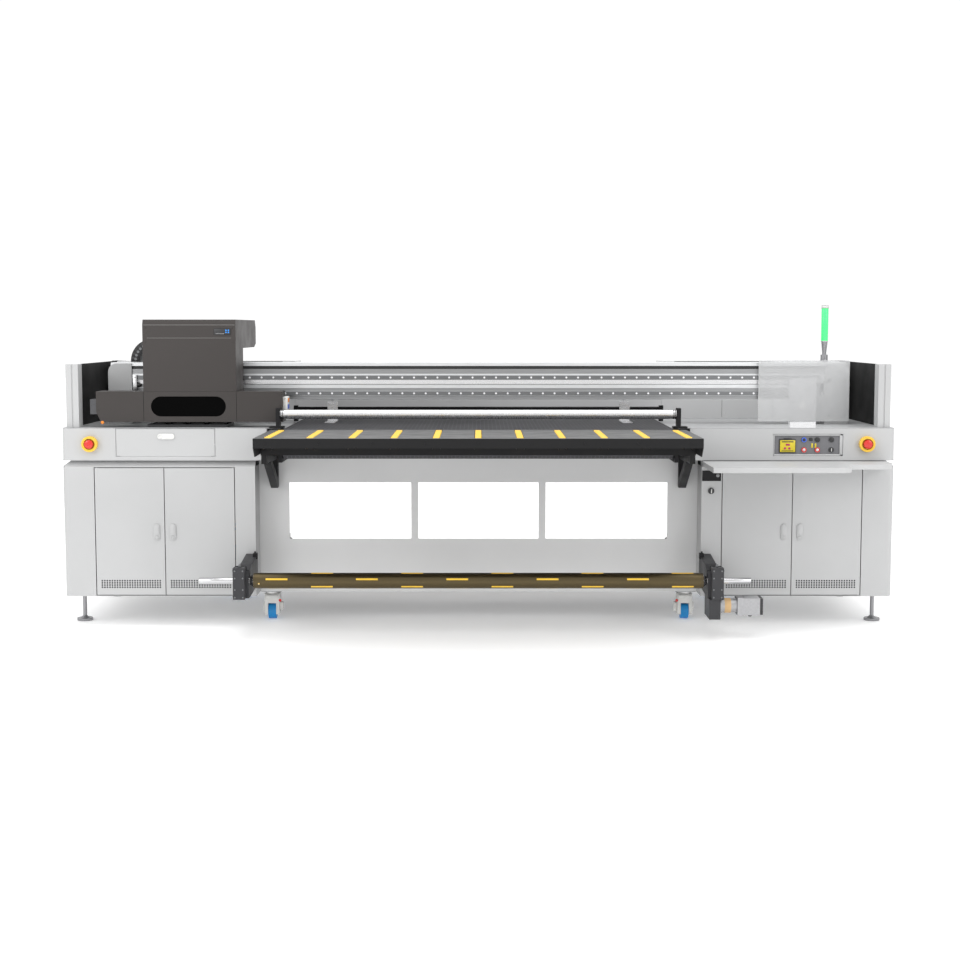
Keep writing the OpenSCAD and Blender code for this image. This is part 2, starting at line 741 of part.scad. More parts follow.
module roll_shaft() {
  cone_l = bracket_x - shaft_l / 2 - 2;
  rotate([0, 90, 0]) {
    translate([0, 0, -shaft_l / 2]) cylinder(h = shaft_l, d = shaft_d);
    translate([0, 0, -shaft_l / 2 - cone_l]) cylinder(h = cone_l, d1 = journal_d + 8, d2 = shaft_d - 12);
    translate([0, 0, shaft_l / 2]) cylinder(h = cone_l, d1 = shaft_d - 12, d2 = journal_d + 8);
    translate([0, 0, -clamp_x - bracket_t - journal_reach])
      cylinder(h = 2 * (clamp_x + bracket_t) + journal_reach + drive_reach, d = journal_d);
  }
}
module takeup_shaft() color([0.36, 0.33, 0.24]) in_place()
  translate([0, -shaft_out, shaft_z]) roll_shaft();
module feed_shaft() color([0.36, 0.33, 0.24]) in_place()
  translate([0, body_depth + shaft_out, shaft_z - feed_drop]) roll_shaft();

// take-up gear motor and belt gear motor
module gear_motor(x, y, z, d) {
  x_rod(x, x + 14, y, z, d * 0.85);
  x_rod(x + 14, x + 84, y, z, d * 0.8);
  block(x + 84, x + 114, y - d / 2, y + d / 2, z - d / 2, z + d / 2);
  block(x + 114, x + 205, y - d / 2 + 3, y + d / 2 - 3, z - d / 2 + 3, z + d / 2 - 3);
}
module gear_motors() color("silver") in_place() {
  gear_motor(bracket_x + bracket_t - 6, -shaft_out + 8, shaft_z - 121, 86);
  // belt drive: its shaft passes over the table arm
  belt_motor_y = body_depth - roller_y;
  belt_motor_x = arm_x0 + arm_w + 30;
  x_rod(cheek_x + cheek_t, belt_motor_x, belt_motor_y, roller_z, 18);
  gear_motor(belt_motor_x, belt_motor_y, roller_z, 86);
  block(belt_motor_x + 86, belt_motor_x + 112, body_depth, belt_motor_y - 43, roller_z - 22, roller_z + 22);
}

// ---------- operator side ----------
module writing_shelf() {
  x0 = bay_x + 1;
  step_x = side_x - 350;
  end_x = side_x - 45;
  end_r = 90;
  reach = 389;
  short_reach = 205;
  color("gainsboro") in_place() translate([0, 0, fascia_z - 28]) linear_extrude(25) {
    translate([x0, -reach]) square([step_x - x0, reach - touch]);
    translate([step_x, -reach + 60]) circle(60);
    translate([step_x, -reach + 60]) square([60, reach - 60 - touch]);
    translate([step_x, -short_reach]) square([end_x - step_x - end_r, short_reach - touch]);
    translate([step_x, -short_reach + end_r]) square([end_x - step_x, short_reach - end_r - touch]);
    translate([end_x - end_r, -short_reach + end_r]) circle(end_r);
    // hollow curve between the deep and the shallow part
    translate([step_x + 60, -short_reach - 60]) difference() {
      square([60, 60]);
      translate([60, 0]) circle(60);
    }
  }
  // ledge that carries the shelf inside the shadow gap
  color("gainsboro") in_place()
    block(bay_x + 20, shelf_end_x - 2, -touch, seam_inset, fascia_z - 28, fascia_z - 3);
}

module signal_lamp() {
  x = side_x - 283;
  y = beam_y + 30;
  z = beam_z1;
  color("silver") in_place() {
    z_rod(z, z + 40, x, y, 37);
    z_rod(z + 40, z + 46, x, y, 22);
    translate([x, y, z + 46]) cylinder(h = 65, d1 = 20, d2 = 34);
  }
  color("lime") in_place() {
    z_rod(z + 111, z + 276, x, y, 34);
    z_rod(z + 276, z + 291, x, y, 37);
  }
}

module control_panel() color([0.3, 0.32, 0.35]) in_place() {
  // set-back plate, its rim, the meter and the upper row of pilot lights
  difference() {
    block(panel_x0, panel_x0 + panel_w, 12, 15, panel_z0, panel_z0 + panel_h);
    for (x = [button_x[0], button_x[1]]) y_rod(11, 16, x, button_z, 12 + 2 * run);
  }
  difference() {
    block(panel_x0 - 12, panel_x0 + panel_w + 12, sheet_t, 15, panel_z0 - 12, panel_z0 + panel_h + 8);
    block(panel_x0, panel_x0 + panel_w, sheet_t - 1, 16, panel_z0, panel_z0 + panel_h);
  }
  block(panel_x0 + 32, panel_x0 + 111, 3, 12, panel_z0 + 18, panel_z0 + 83);
  for (x = button_x) y_rod(5, 12, x, button_z + 50, 24);
  y_rod(5, 12, button_x[2], button_z, 24);
  // label plate on the cabinet, under the shelf
  block(bay_x + 2, bay_x + 95, -2, 0, fascia_z - 102, fascia_z - 50);
}
module panel_button(x) {
  y_rod(3, 8, x, button_z, 24);
  y_rod(8, 22, x, button_z, 12);
}
module start_button() color("red") in_place() panel_button(button_x[0]);
module stop_button() color("red") in_place() panel_button(button_x[1]);

module estop_collar(x) difference() {
  y_rod(-26, 0, x, estop_z, 76);
  y_rod(-27, -8, x, estop_z, 56);
  y_rod(-9, 1, x, estop_z, estop_bore);
}
module estop_collars() color("gold") in_place() {
  estop_collar(-estop_x);
  estop_collar(estop_x);
}
module estop_knob(x) {
  y_rod(-38, -14, x, estop_z, 42);
  y_rod(-14, 20, x, estop_z, estop_bore - 2 * run);
}
module left_estop() color("red") in_place() estop_knob(-estop_x);
module right_estop() color("red") in_place() estop_knob(estop_x);

// rotary main switch below the shelf, with its black warning plate fixed on the cabinet
module main_switch() color([0.15, 0.15, 0.16]) in_place() {
  y_rod(-6, -touch, switch_x, switch_z, 31);
  y_rod(-touch, 18, switch_x, switch_z, 18);
  block(switch_x - 2, switch_x + 2, -16, -6, switch_z - 14, switch_z + 14);
}

module capping_station() {
  tray_x0 = park_x - 215;
  tray_w = 400;
  cap_step = 95;
  color([0.1, 0.1, 0.11]) in_place() {
    difference() {
      block(tray_x0, tray_x0 + tray_w, 60, 270, deck_z, deck_z + 14);
      block(tray_x0 + 5, tray_x0 + tray_w - 5, 65, 265, deck_z + 4, deck_z + 15);
    }
    for (i = [0 : 3]) block(tray_x0 + 25 + i * cap_step, tray_x0 + 85 + i * cap_step, 90, 240,
                            deck_z + 4, deck_z + 18);
  }
}
module ink_tanks() {
  tank_w = 88;
  tank_step = 108;
  color([0.9, 0.9, 0.88]) in_place() for (i = [0 : 4], row = [0, 1]) {
    x = -(door_mid - 330 + i * tank_step);
    block(x - tank_w, x, 260 + row * 190, 420 + row * 190, cabinet_z + sheet_t, cabinet_z + 280);
    z_rod(cabinet_z + 280, cabinet_z + 300, x - tank_w / 2, 340 + row * 190, 44);
  }
}
module sheet_box(x0, x1, y0, y1, z0, z1) {
  t = 2;
  difference() {
    block(x0, x1, y0, y1, z0, z1);
    block(x0 + t, x1 - t, y0 + t, y1 - t, z0 + t, z1 - t);
  }
}
// electrical box on the back wall and the vacuum pump on the floor
module control_box() {
  box_y = body_depth - sheet_t - 180;
  color("silver") in_place() {
    sheet_box(door_mid - 260, door_mid + 120, box_y, body_depth - sheet_t, cabinet_z + 120, cabinet_z + 560);
    block(door_mid - 120, door_mid + 100, 500, 640, cabinet_z + sheet_t, cabinet_z + 28);
    y_rod(490, 650, door_mid - 10, cabinet_z + 118, 180);
  }
}

// ---------- doors and flap ----------
// hinge side at x0 for hinge = 0, at x1 for hinge = 1
module door(x0, x1, hinge) {
  pivot_x = hinge == 0 ? x0 + pivot_in : x1 - pivot_in;
  bar_x = hinge == 0 ? x0 : x1 - door_t;
  vent_pitch = min(13, (x1 - x0 - 40) / vent_columns);
  vent_x0 = (x0 + x1) / 2 - vent_pitch * vent_columns / 2;
  difference() {
    union() {
      difference() {
        block(x0, x1, 0, door_t, door_z0, door_z1);
        block(x0 + sheet_t, x1 - sheet_t, sheet_t, door_t + 1, door_z0 + sheet_t, door_z1 - sheet_t);
      }
      block(bar_x, bar_x + door_t, 0, door_t, door_z0, door_z1);
    }
    for (z = [door_z0 - 1, door_z1 - pivot_l - 1])
      z_rod(z, z + pivot_l + 2, pivot_x, pivot_in, pivot_d + 2 * run);
    for (i = [0 : vent_columns - 1], j = [0 : vent_rows - 1]) {
      vx = vent_x0 + (i + 0.5) * vent_pitch;
      vz = cabinet_z + 45 + j * 11;
      block(vx - vent_hole / 2, vx + vent_hole / 2, -1, sheet_t + 1, vz - vent_hole / 2, vz + vent_hole / 2);
    }
  }
  // pull beside the door's free edge
  pull_x = hinge == 0 ? x1 - 38 : x0 + 38;
  y_slab(-5, 0) translate([pull_x, pull_z]) oblong(pull_w, pull_h);
}
module inner_door() door(door_x0, door_mid - door_gap / 2, 0);
module outer_door() door(door_mid + door_gap / 2, door_x1 - door_gap, 1);
module left_outer_door() color("gainsboro") in_place() mirror([1, 0, 0]) outer_door();
module left_inner_door() color("gainsboro") in_place() mirror([1, 0, 0]) inner_door();
module right_inner_door() color("gainsboro") in_place() inner_door();
module right_outer_door() color("gainsboro") in_place() outer_door();

module flap() color("gainsboro") in_place() {
  block(flap_x0, flap_x0 + flap_w, 0, sheet_t, flap_z0, deck_under - 2);
  x_rod(flap_x0 + 20, flap_x0 + flap_w - 20, sheet_t / 2, flap_z0, sheet_t + run);
  y_slab(-5, 0) translate([flap_x0 + flap_w / 2 + 4, deck_z - 42]) oblong(85, 29);
}

// ---------- carriage ----------
module at_carriage() in_place() translate([park_x, 0, 0]) children();
module carriage_frame() {
  bore_gap = 0.5;
  y1 = beam_y - 3;
  color("dimgray") at_carriage() {
    block(-180, 180, slide_plate_y, slide_plate_y + 10, skirt_z1 - 120, beam_z1 + 10);
    for (x = [-170, 80], z = rail_z) difference() {
      block(x, x + block_l, slide_plate_y + 10, y1, z - 26, z + 26);
      block(x - 1, x + block_l + 1, beam_y - rail_t - 1.5, y1 + 1,
            z - rail_w / 2 - bore_gap, z + rail_w / 2 + bore_gap);
    }
    // buffer on the left of the skirt
    block(-skirt_w / 2 - 35, -skirt_w / 2, 60, 120, skirt_z0 + 37, skirt_z0 + 112);
  }
}
module cover_outline(inset) {
  y1 = slide_plate_y;
  polygon([
    [carriage_y0 + inset, skirt_z1 - (inset > 0 ? 1 : 0)], [y1 - inset, skirt_z1 - (inset > 0 ? 1 : 0)],
    [y1 - inset, overhang_z + inset], [overhang_y1 - 60, overhang_z + inset],
    [overhang_y1 - inset, overhang_z + 18 + inset], [overhang_y1 - inset, cover_top - 40],
    [overhang_y1 - 25 - inset / 2, cover_top - inset], [carriage_y0 + 12 + inset / 2, cover_top - inset],
    [carriage_y0 + inset, cover_top - 26]
  ]);
}
// sheet cover, open below where it stands on the skirt
module head_cover() {
  x0 = cover_shift - cover_w / 2;
  x1 = cover_shift + cover_w / 2;
  color([0.32, 0.31, 0.3]) at_carriage() difference() {
    x_slab(x0, x1) cover_outline(0);
    x_slab(x0 + sheet_t, x1 - sheet_t) cover_outline(sheet_t);
  }
}
module head_skirt() {
  half = skirt_w / 2;
  y1 = slide_plate_y;
  window_w = 371;
  window_h = 99;
  window_x = -4;
  color([0.32, 0.31, 0.3]) at_carriage() {
    difference() {
      y_slab(carriage_y0, y1) polygon([
        [-half, skirt_z1], [-half, skirt_z0 + 50], [-half + 23, skirt_z0], [half, skirt_z0], [half, skirt_z1]
      ]);
      block(-half + sheet_t, half - sheet_t, carriage_y0 + sheet_t, y1 + 1, skirt_z0 - 1, skirt_z1 - sheet_t);
      // the wings beside the cover are shallow
      block(-half - 1, -wing_x, wing_y1, y1 + 1, skirt_z0 - 1, skirt_z1 + 1);
      block(wing_x, half + 1, wing_y1, y1 + 1, skirt_z0 - 1, skirt_z1 + 1);
      y_slab(carriage_y0 - 1, carriage_y0 + sheet_t + 1)
        translate([window_x, skirt_z0 + 77]) oblong(window_w, window_h);
    }
    // rear walls of the wings and sides of the middle part
    left_and_right() {
      block(wing_x, half - 23, wing_y1 - sheet_t, wing_y1, skirt_z0, skirt_z1 - sheet_t);
      block(wing_x - sheet_t, wing_x, wing_y1 - sheet_t, y1, skirt_z0, skirt_z1 - sheet_t);
    }
  }
}
module print_heads() {
  head_z = skirt_z0 - 2;
  head_step = 88;
  lamp_z0 = skirt_z0 + 12;
  color("dimgray") at_carriage() {
    // carrier plate, heads and the lamp housings at both ends
    block(-200, 200, 90, slide_plate_y, skirt_z0 + 60, skirt_z0 + 70);
    for (i = [0 : 3], row = [0, 1]) block(-170 + i * head_step, -110 + i * head_step,
      100 + row * 88, 172 + row * 88, head_z, skirt_z0 + 60);
    block(-skirt_w / 2 + 14, -215, 60, wing_y1 - 10, lamp_z0, lamp_z0 + 90);
    block(215, skirt_w / 2 - 14, 60, wing_y1 - 10, lamp_z0, lamp_z0 + 90);
    for (s = [-1, 1]) block(s > 0 ? 200 : -215, s > 0 ? 215 : -200, 100, 150, skirt_z0 + 60, skirt_z0 + 70);
  }
}

// ---------- feet and casters ----------
module levelling_feet() color("silver") in_place() left_and_right()
  for (y = [foot_y, body_depth - foot_y]) {
    z_rod(0, 14, foot_x, y, foot_d);
    translate([foot_x, y, 14]) cylinder(h = 10, d1 = 50, d2 = 24);
    z_rod(24, cabinet_z, foot_x, y, 20);
    z_rod(cabinet_z - 14, cabinet_z - 4, foot_x, y, 34);
  }
module caster_fork(x, y) {
  top = caster_plate_z - 14;
  z_rod(top, caster_plate_z, x, y, 60);
  difference() {
    block(x - caster_half, x + caster_half, y - 30, y + 42, caster_z - 14, top);
    block(x - caster_w / 2 - 1, x + caster_w / 2 + 1, y - 31, y + 43,
      caster_z - 20, caster_z + caster_d / 2 + 4);
    x_rod(x - caster_half - 1, x + caster_half + 1, y + caster_trail, caster_z, axle_d + 2 * run);
  }
}
module caster_wheel(x, y) {
  x_rod(x - caster_w / 2, x + caster_w / 2, y + caster_trail, caster_z, caster_d);
  x_rod(x - caster_half, x + caster_half, y + caster_trail, caster_z, axle_d);
}
module left_caster_fork() color("whitesmoke") in_place() caster_fork(-caster_x, caster_y);
module right_caster_fork() color("whitesmoke") in_place() caster_fork(caster_x, caster_y);
module left_caster_wheel() color("deepskyblue") in_place() caster_wheel(-caster_x, caster_y);
module right_caster_wheel() color("deepskyblue") in_place() caster_wheel(caster_x, caster_y);
module rear_casters() color("deepskyblue") in_place() left_and_right() {
  caster_fork(rear_caster_x, body_depth - caster_y);
  caster_wheel(rear_caster_x, body_depth - caster_y);
}

base_frame();
left_cabinet();
right_cabinet();
window_panels();
left_fascia();
right_fascia();
decks();
rear_housing();
deck_frames();
smoked_panels();
guard_panel();
gantry_beam();
guide_rails();
carriage_drive();
chain_lower_run();
chain_upper_run();
chain_bend();
print_belt();
vacuum_table();
belt_cheeks();
drive_roller();
idler_roller();
gear_motors();
tables();
table_brackets();
table_wheels();
web_supports();
guide_roller();
left_media_guide();
right_media_guide();
roll_brackets();
takeup_shaft();
feed_shaft();
writing_shelf();
signal_lamp();
control_panel();
start_button();
stop_button();
estop_collars();
left_estop();
right_estop();
main_switch();
capping_station();
ink_tanks();
control_box();
flap();
left_outer_door();
left_inner_door();
right_inner_door();
right_outer_door();
carriage_frame();
head_cover();
head_skirt();
print_heads();
levelling_feet();
left_caster_fork();
right_caster_fork();
left_caster_wheel();
right_caster_wheel();
rear_casters();
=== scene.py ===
"""Finishes, fittings and stage for a hybrid flatbed printer, laid out as a Blender add-on."""

import json
import math
import sys

import bmesh
import bpy
from mathutils import Euler, Matrix, Vector
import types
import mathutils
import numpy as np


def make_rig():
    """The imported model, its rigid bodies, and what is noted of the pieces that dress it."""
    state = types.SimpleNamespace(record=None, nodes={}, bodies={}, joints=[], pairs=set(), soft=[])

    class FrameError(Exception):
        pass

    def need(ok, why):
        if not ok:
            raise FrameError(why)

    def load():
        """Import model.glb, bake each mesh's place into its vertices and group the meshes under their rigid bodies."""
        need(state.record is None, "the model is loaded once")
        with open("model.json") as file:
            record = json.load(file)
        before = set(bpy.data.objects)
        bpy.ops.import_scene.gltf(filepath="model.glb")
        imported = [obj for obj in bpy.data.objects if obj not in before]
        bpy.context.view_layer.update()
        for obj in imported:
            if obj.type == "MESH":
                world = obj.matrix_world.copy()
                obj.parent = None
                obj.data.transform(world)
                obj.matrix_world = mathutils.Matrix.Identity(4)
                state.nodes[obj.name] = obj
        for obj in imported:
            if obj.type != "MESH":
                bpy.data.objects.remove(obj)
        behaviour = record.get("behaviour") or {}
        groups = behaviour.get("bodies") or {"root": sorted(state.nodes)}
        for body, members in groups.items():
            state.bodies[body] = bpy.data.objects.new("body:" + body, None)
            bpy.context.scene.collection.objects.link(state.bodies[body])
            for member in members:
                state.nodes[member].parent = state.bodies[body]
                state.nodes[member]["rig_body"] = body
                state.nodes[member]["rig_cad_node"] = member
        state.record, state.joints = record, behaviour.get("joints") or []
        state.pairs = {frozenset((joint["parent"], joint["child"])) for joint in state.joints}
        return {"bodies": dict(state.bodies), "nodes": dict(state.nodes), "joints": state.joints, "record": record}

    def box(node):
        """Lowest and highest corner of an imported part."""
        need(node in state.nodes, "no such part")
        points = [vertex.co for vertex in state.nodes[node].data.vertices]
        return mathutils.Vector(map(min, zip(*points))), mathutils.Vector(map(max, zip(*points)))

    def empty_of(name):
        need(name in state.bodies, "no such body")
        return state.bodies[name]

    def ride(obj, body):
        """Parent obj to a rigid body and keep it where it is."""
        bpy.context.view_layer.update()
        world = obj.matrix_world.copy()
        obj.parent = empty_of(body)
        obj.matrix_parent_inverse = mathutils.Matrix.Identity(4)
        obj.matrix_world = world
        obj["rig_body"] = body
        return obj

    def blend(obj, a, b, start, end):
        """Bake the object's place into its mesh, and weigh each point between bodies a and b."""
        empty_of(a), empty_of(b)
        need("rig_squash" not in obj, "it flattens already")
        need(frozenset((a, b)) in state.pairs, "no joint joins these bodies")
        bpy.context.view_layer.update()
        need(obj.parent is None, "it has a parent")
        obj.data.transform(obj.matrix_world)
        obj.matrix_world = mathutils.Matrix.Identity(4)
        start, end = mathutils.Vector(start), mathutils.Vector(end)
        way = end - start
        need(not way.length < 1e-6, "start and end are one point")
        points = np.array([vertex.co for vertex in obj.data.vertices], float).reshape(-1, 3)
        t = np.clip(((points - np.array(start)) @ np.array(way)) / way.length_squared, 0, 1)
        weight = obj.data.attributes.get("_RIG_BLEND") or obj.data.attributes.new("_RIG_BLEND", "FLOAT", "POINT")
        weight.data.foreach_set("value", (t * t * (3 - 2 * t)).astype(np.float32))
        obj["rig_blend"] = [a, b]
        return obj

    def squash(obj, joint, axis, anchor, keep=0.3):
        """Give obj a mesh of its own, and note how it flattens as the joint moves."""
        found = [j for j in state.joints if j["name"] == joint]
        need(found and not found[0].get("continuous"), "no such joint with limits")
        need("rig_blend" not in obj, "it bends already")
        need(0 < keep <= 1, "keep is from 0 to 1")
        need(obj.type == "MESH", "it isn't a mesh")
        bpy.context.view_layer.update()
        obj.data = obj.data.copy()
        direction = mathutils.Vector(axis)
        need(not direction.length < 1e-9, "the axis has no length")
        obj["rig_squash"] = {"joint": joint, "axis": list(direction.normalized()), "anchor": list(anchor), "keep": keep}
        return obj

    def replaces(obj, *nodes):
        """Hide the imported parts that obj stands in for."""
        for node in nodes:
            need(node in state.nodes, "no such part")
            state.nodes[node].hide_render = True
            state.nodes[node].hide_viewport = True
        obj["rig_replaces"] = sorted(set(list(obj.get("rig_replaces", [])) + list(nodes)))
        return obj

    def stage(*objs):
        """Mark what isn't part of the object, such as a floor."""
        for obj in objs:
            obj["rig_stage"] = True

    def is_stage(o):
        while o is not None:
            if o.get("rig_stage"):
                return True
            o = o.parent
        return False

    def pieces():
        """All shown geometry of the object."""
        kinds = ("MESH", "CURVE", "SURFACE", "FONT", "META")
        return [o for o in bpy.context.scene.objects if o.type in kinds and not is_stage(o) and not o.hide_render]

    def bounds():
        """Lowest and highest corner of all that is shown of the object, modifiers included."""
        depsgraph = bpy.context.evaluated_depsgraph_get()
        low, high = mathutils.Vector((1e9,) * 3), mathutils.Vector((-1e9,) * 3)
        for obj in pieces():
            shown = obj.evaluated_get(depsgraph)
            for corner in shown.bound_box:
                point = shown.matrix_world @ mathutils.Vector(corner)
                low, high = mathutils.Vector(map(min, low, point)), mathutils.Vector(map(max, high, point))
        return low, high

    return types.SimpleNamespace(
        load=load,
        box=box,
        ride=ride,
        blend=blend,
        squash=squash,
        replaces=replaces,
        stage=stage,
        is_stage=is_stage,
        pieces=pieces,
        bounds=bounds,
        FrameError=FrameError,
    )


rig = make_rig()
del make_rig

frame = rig.load()
CAD_BOX = [list(corner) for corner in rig.bounds()]
SIZE_FILE = "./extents.json"

bl_info = {
    "name": "Hybrid flatbed printer",
    "version": (1, 0, 0),
    "blender": (4, 5, 0),
    "location": "View3D > Sidebar > Printer",
    "description": "Adds finishes, fittings and a studio stage to the printer frame",
    "category": "Object",
}

MM = 0.001
X, Y, Z = Vector((1, 0, 0)), Vector((0, 1, 0)), Vector((0, 0, 1))
ROUND = 24  # sides of a turned piece
BEAM_FACE = 330  # front of the gantry beam, in mm from the front face
BAND_H = 189  # height of the beam face that carries the rails, in mm
MOTOR_HALF = 0.043  # half the side of a gear motor
TABLE_SIDE = 1.006  # side faces of the tables
WHEEL_PITCH = 189.5  # distance between rows of table wheels, in mm
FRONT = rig.box("left_fascia")[0].y  # front face of the body
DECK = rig.box("decks")[1].z


# ---------- mesh helpers ----------
def mark_sharp(bm, degrees=32):
    """Smooth shading everywhere except across edges sharper than the given angle."""
    limit = math.radians(degrees)
    for face in bm.faces:
        face.smooth = True
    for edge in bm.edges:
        flat = len(edge.link_faces) == 2 and edge.calc_face_angle(0.0) < limit
        edge.smooth = flat


def piece(name, bm, finish, body, replaces=()):
    """Turns a bmesh into an object with the named finishes, riding on one CAD body."""
    mark_sharp(bm)
    mesh = bpy.data.meshes.new(name)
    bm.to_mesh(mesh)
    bm.free()
    for item in finish.split():
        mesh.materials.append(FINISH[item])
    obj = bpy.data.objects.new(name, mesh)
    bpy.context.scene.collection.objects.link(obj)
    if body:
        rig.ride(obj, body)
    if replaces:
        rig.replaces(obj, *replaces)
    return obj


def round_edges(obj, width, segments=2):
    """Live bevel on every sharp edge."""
    bevel = obj.modifiers.new("edge_round", "BEVEL")
    bevel.width = width
    bevel.segments = segments
    bevel.limit_method = "ANGLE"
    bevel.angle_limit = math.radians(40)
    bevel.harden_normals = True
    return obj


def skin(node, finish, width=1.5 * MM):
    """A merged copy of a CAD node with softened edges, shown in its place."""
    source = frame["nodes"][node]
    bm = bmesh.new()
    bm.from_mesh(source.data)
    bmesh.ops.remove_doubles(bm, verts=bm.verts, dist=1e-5)
    bmesh.ops.dissolve_limit(
        bm, angle_limit=math.radians(0.5), verts=bm.verts, edges=bm.edges
    )
    obj = piece(node + "_skin", bm, finish, source["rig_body"], [node])
    if width:
        round_edges(obj, width)
    return obj


def select_new(bm, before):
    return [face for face in bm.faces if face not in before]


def paint_new(bm, before, index):
    for face in bm.faces:
        if face not in before:
            face.material_index = index


def slab(bm, low, high, edge=0.0, index=0, segments=2):
    """A box between two corners, with all its edges rounded."""
    before = set(bm.faces)
    low, high = Vector(low), Vector(high)
    size = high - low
    place = Matrix.Translation((low + high) / 2) @ Matrix.Diagonal(size.to_4d())
    made = bmesh.ops.create_cube(bm, size=1, matrix=place)
    if edge:
        edges = list({e for v in made["verts"] for e in v.link_edges})
        bmesh.ops.bevel(
            bm, geom=edges, offset=edge, segments=segments, profile=0.5,
            affect="EDGES", material=-1,
        )
    paint_new(bm, before, index)


def turned(bm, start, end, radius, radius_end=None, index=0, sides=ROUND, edge=0.0):
    """A cylinder or cone from start to end, with its rims rounded."""
    before = set(bm.faces)
    start, end = Vector(start), Vector(end)
    axis = end - start
    turn = Z.rotation_difference(axis).to_matrix().to_4x4()
    place = Matrix.Translation((start + end) / 2) @ turn
    made = bmesh.ops.create_cone(
        bm, cap_ends=True, segments=sides, radius1=radius,
        radius2=radius if radius_end is None else radius_end,
        depth=axis.length, matrix=place,
    )
    if edge:
        rims = [
            e for e in {e for v in made["verts"] for e in v.link_edges}
            if any(len(f.verts) > 4 for f in e.link_faces)
        ]
        bmesh.ops.bevel(
            bm, geom=rims, offset=edge, segments=2, profile=0.5,
            affect="EDGES", material=-1,
        )
    paint_new(bm, before, index)


def ring(bm, centre, axis, outer, inner, depth, index=0, sides=ROUND):
    """A flat ring with a square section, spun about axis."""
    before = set(bm.faces)
    centre, axis = Vector(centre), Vector(axis).normalized()
    out = axis.orthogonal().normalized()
    corners = [
        centre + out * inner - axis * depth / 2,
        centre + out * outer - axis * depth / 2,
        centre + out * outer + axis * depth / 2,
        centre + out * inner + axis * depth / 2,
    ]
    verts = [bm.verts.new(c) for c in corners]
    edges = [bm.edges.new((verts[i], verts[(i + 1) % 4])) for i in range(4)]
    bmesh.ops.spin(
        bm, geom=verts + edges, cent=centre, axis=axis, angle=math.tau,
        steps=sides, use_merge=True, use_duplicate=False,
    )
    new = select_new(bm, before)
    bmesh.ops.recalc_face_normals(bm, faces=new)
    paint_new(bm, before, index)


def screw_head(bm, centre, axis, radius, index=0):
    """A low socket-head screw that stands out along axis."""
    centre, axis = Vector(centre), Vector(axis).normalized()
    turned(bm, centre, centre + axis * radius * 0.6, radius, index=index, sides=12, edge=radius * 0.15)
    turned(bm, centre + axis * radius * 0.59, centre + axis * radius * 0.64, radius * 0.45, index=index,
           sides=6)


def oblong_plate(bm, centre, width, height, depth, index=0, edge=0.0):
    """An upright plate with round ends, facing -Y."""
    before = set(bm.faces)
    made = bmesh.ops.create_circle(bm, cap_ends=True, segments=ROUND * 2, radius=min(width, height) / 2)
    stretch = Vector((max(0.0, width - height), max(0.0, height - width), 0)) / 2
    for v in made["verts"]:
        v.co.x += math.copysign(stretch.x, v.co.x) if abs(v.co.x) > 1e-7 else 0.0
        v.co.y += math.copysign(stretch.y, v.co.y) if abs(v.co.y) > 1e-7 else 0.0
    face = [f for f in bm.faces if f not in before]
    side = bmesh.ops.extrude_face_region(bm, geom=face)
    top = [g for g in side["geom"] if isinstance(g, bmesh.types.BMVert)]
    bmesh.ops.translate(bm, verts=top, vec=(0, 0, depth))
    new = select_new(bm, before)
    verts = list({v for f in new for v in f.verts})
    bmesh.ops.transform(
        bm, verts=verts, matrix=Matrix.Translation(centre) @ Matrix.Rotation(math.radians(90), 4, "X")
    )
    bmesh.ops.recalc_face_normals(bm, faces=new)
    if edge:
        rim = [
            e for e in {e for f in new for e in f.edges}
            if e.calc_face_angle(0.0) > 1.0 and all(v.co.y < centre[1] - depth * 0.5 for v in e.verts)
        ]
        bmesh.ops.bevel(bm, geom=rim, offset=edge, segments=2, profile=0.5, affect="EDGES", material=-1)
    paint_new(bm, before, index)


def mirrored(bm):
    """Adds the left-hand twin of everything in the bmesh."""
    copy = bmesh.ops.duplicate(bm, geom=bm.verts[:] + bm.edges[:] + bm.faces[:])
    verts = [g for g in copy["geom"] if isinstance(g, bmesh.types.BMVert)]
    faces = [g for g in copy["geom"] if isinstance(g, bmesh.types.BMFace)]
    bmesh.ops.scale(bm, vec=(-1, 1, 1), verts=verts)
    bmesh.ops.reverse_faces(bm, faces=faces)


# ---------- materials ----------
def new_material(name, colour, rough, metallic=0.0, **sockets):
    mat = bpy.data.materials.new(name)
    mat.use_nodes = True
    shader = mat.node_tree.nodes["Principled BSDF"]
    shader.inputs["Base Color"].default_value = (*colour[:3], 1)
    shader.inputs["Roughness"].default_value = rough
    shader.inputs["Metallic"].default_value = metallic
    for key, value in sockets.items():
        shader.inputs[key.replace("_", " ")].default_value = value
    mat.diffuse_color = (*colour[:3], 1)
    return mat


def add(mat, kind, **values):
    """A new node, with its inputs and properties set by name."""
    node = mat.node_tree.nodes.new(kind)
    for key, value in values.items():
        if key in node.inputs:
            node.inputs[key].default_value = value
        else:
            setattr(node, key, value)
    return node


def wire(mat, source, target):
    mat.node_tree.links.new(source, target)


def place_on(mat, scale=(1, 1, 1)):
    """Object coordinates through a Mapping node."""
    coords = add(mat, "ShaderNodeTexCoord")
    mapping = add(mat, "ShaderNodeMapping", Scale=scale)
    wire(mat, coords.outputs["Object"], mapping.inputs["Vector"])
    return mapping.outputs["Vector"]


def noise(mat, scale, stretch=(1, 1, 1), detail=3.0):
    node = add(mat, "ShaderNodeTexNoise", Scale=scale, Detail=detail)
    wire(mat, place_on(mat, stretch), node.inputs["Vector"])
    return node.outputs["Fac"]


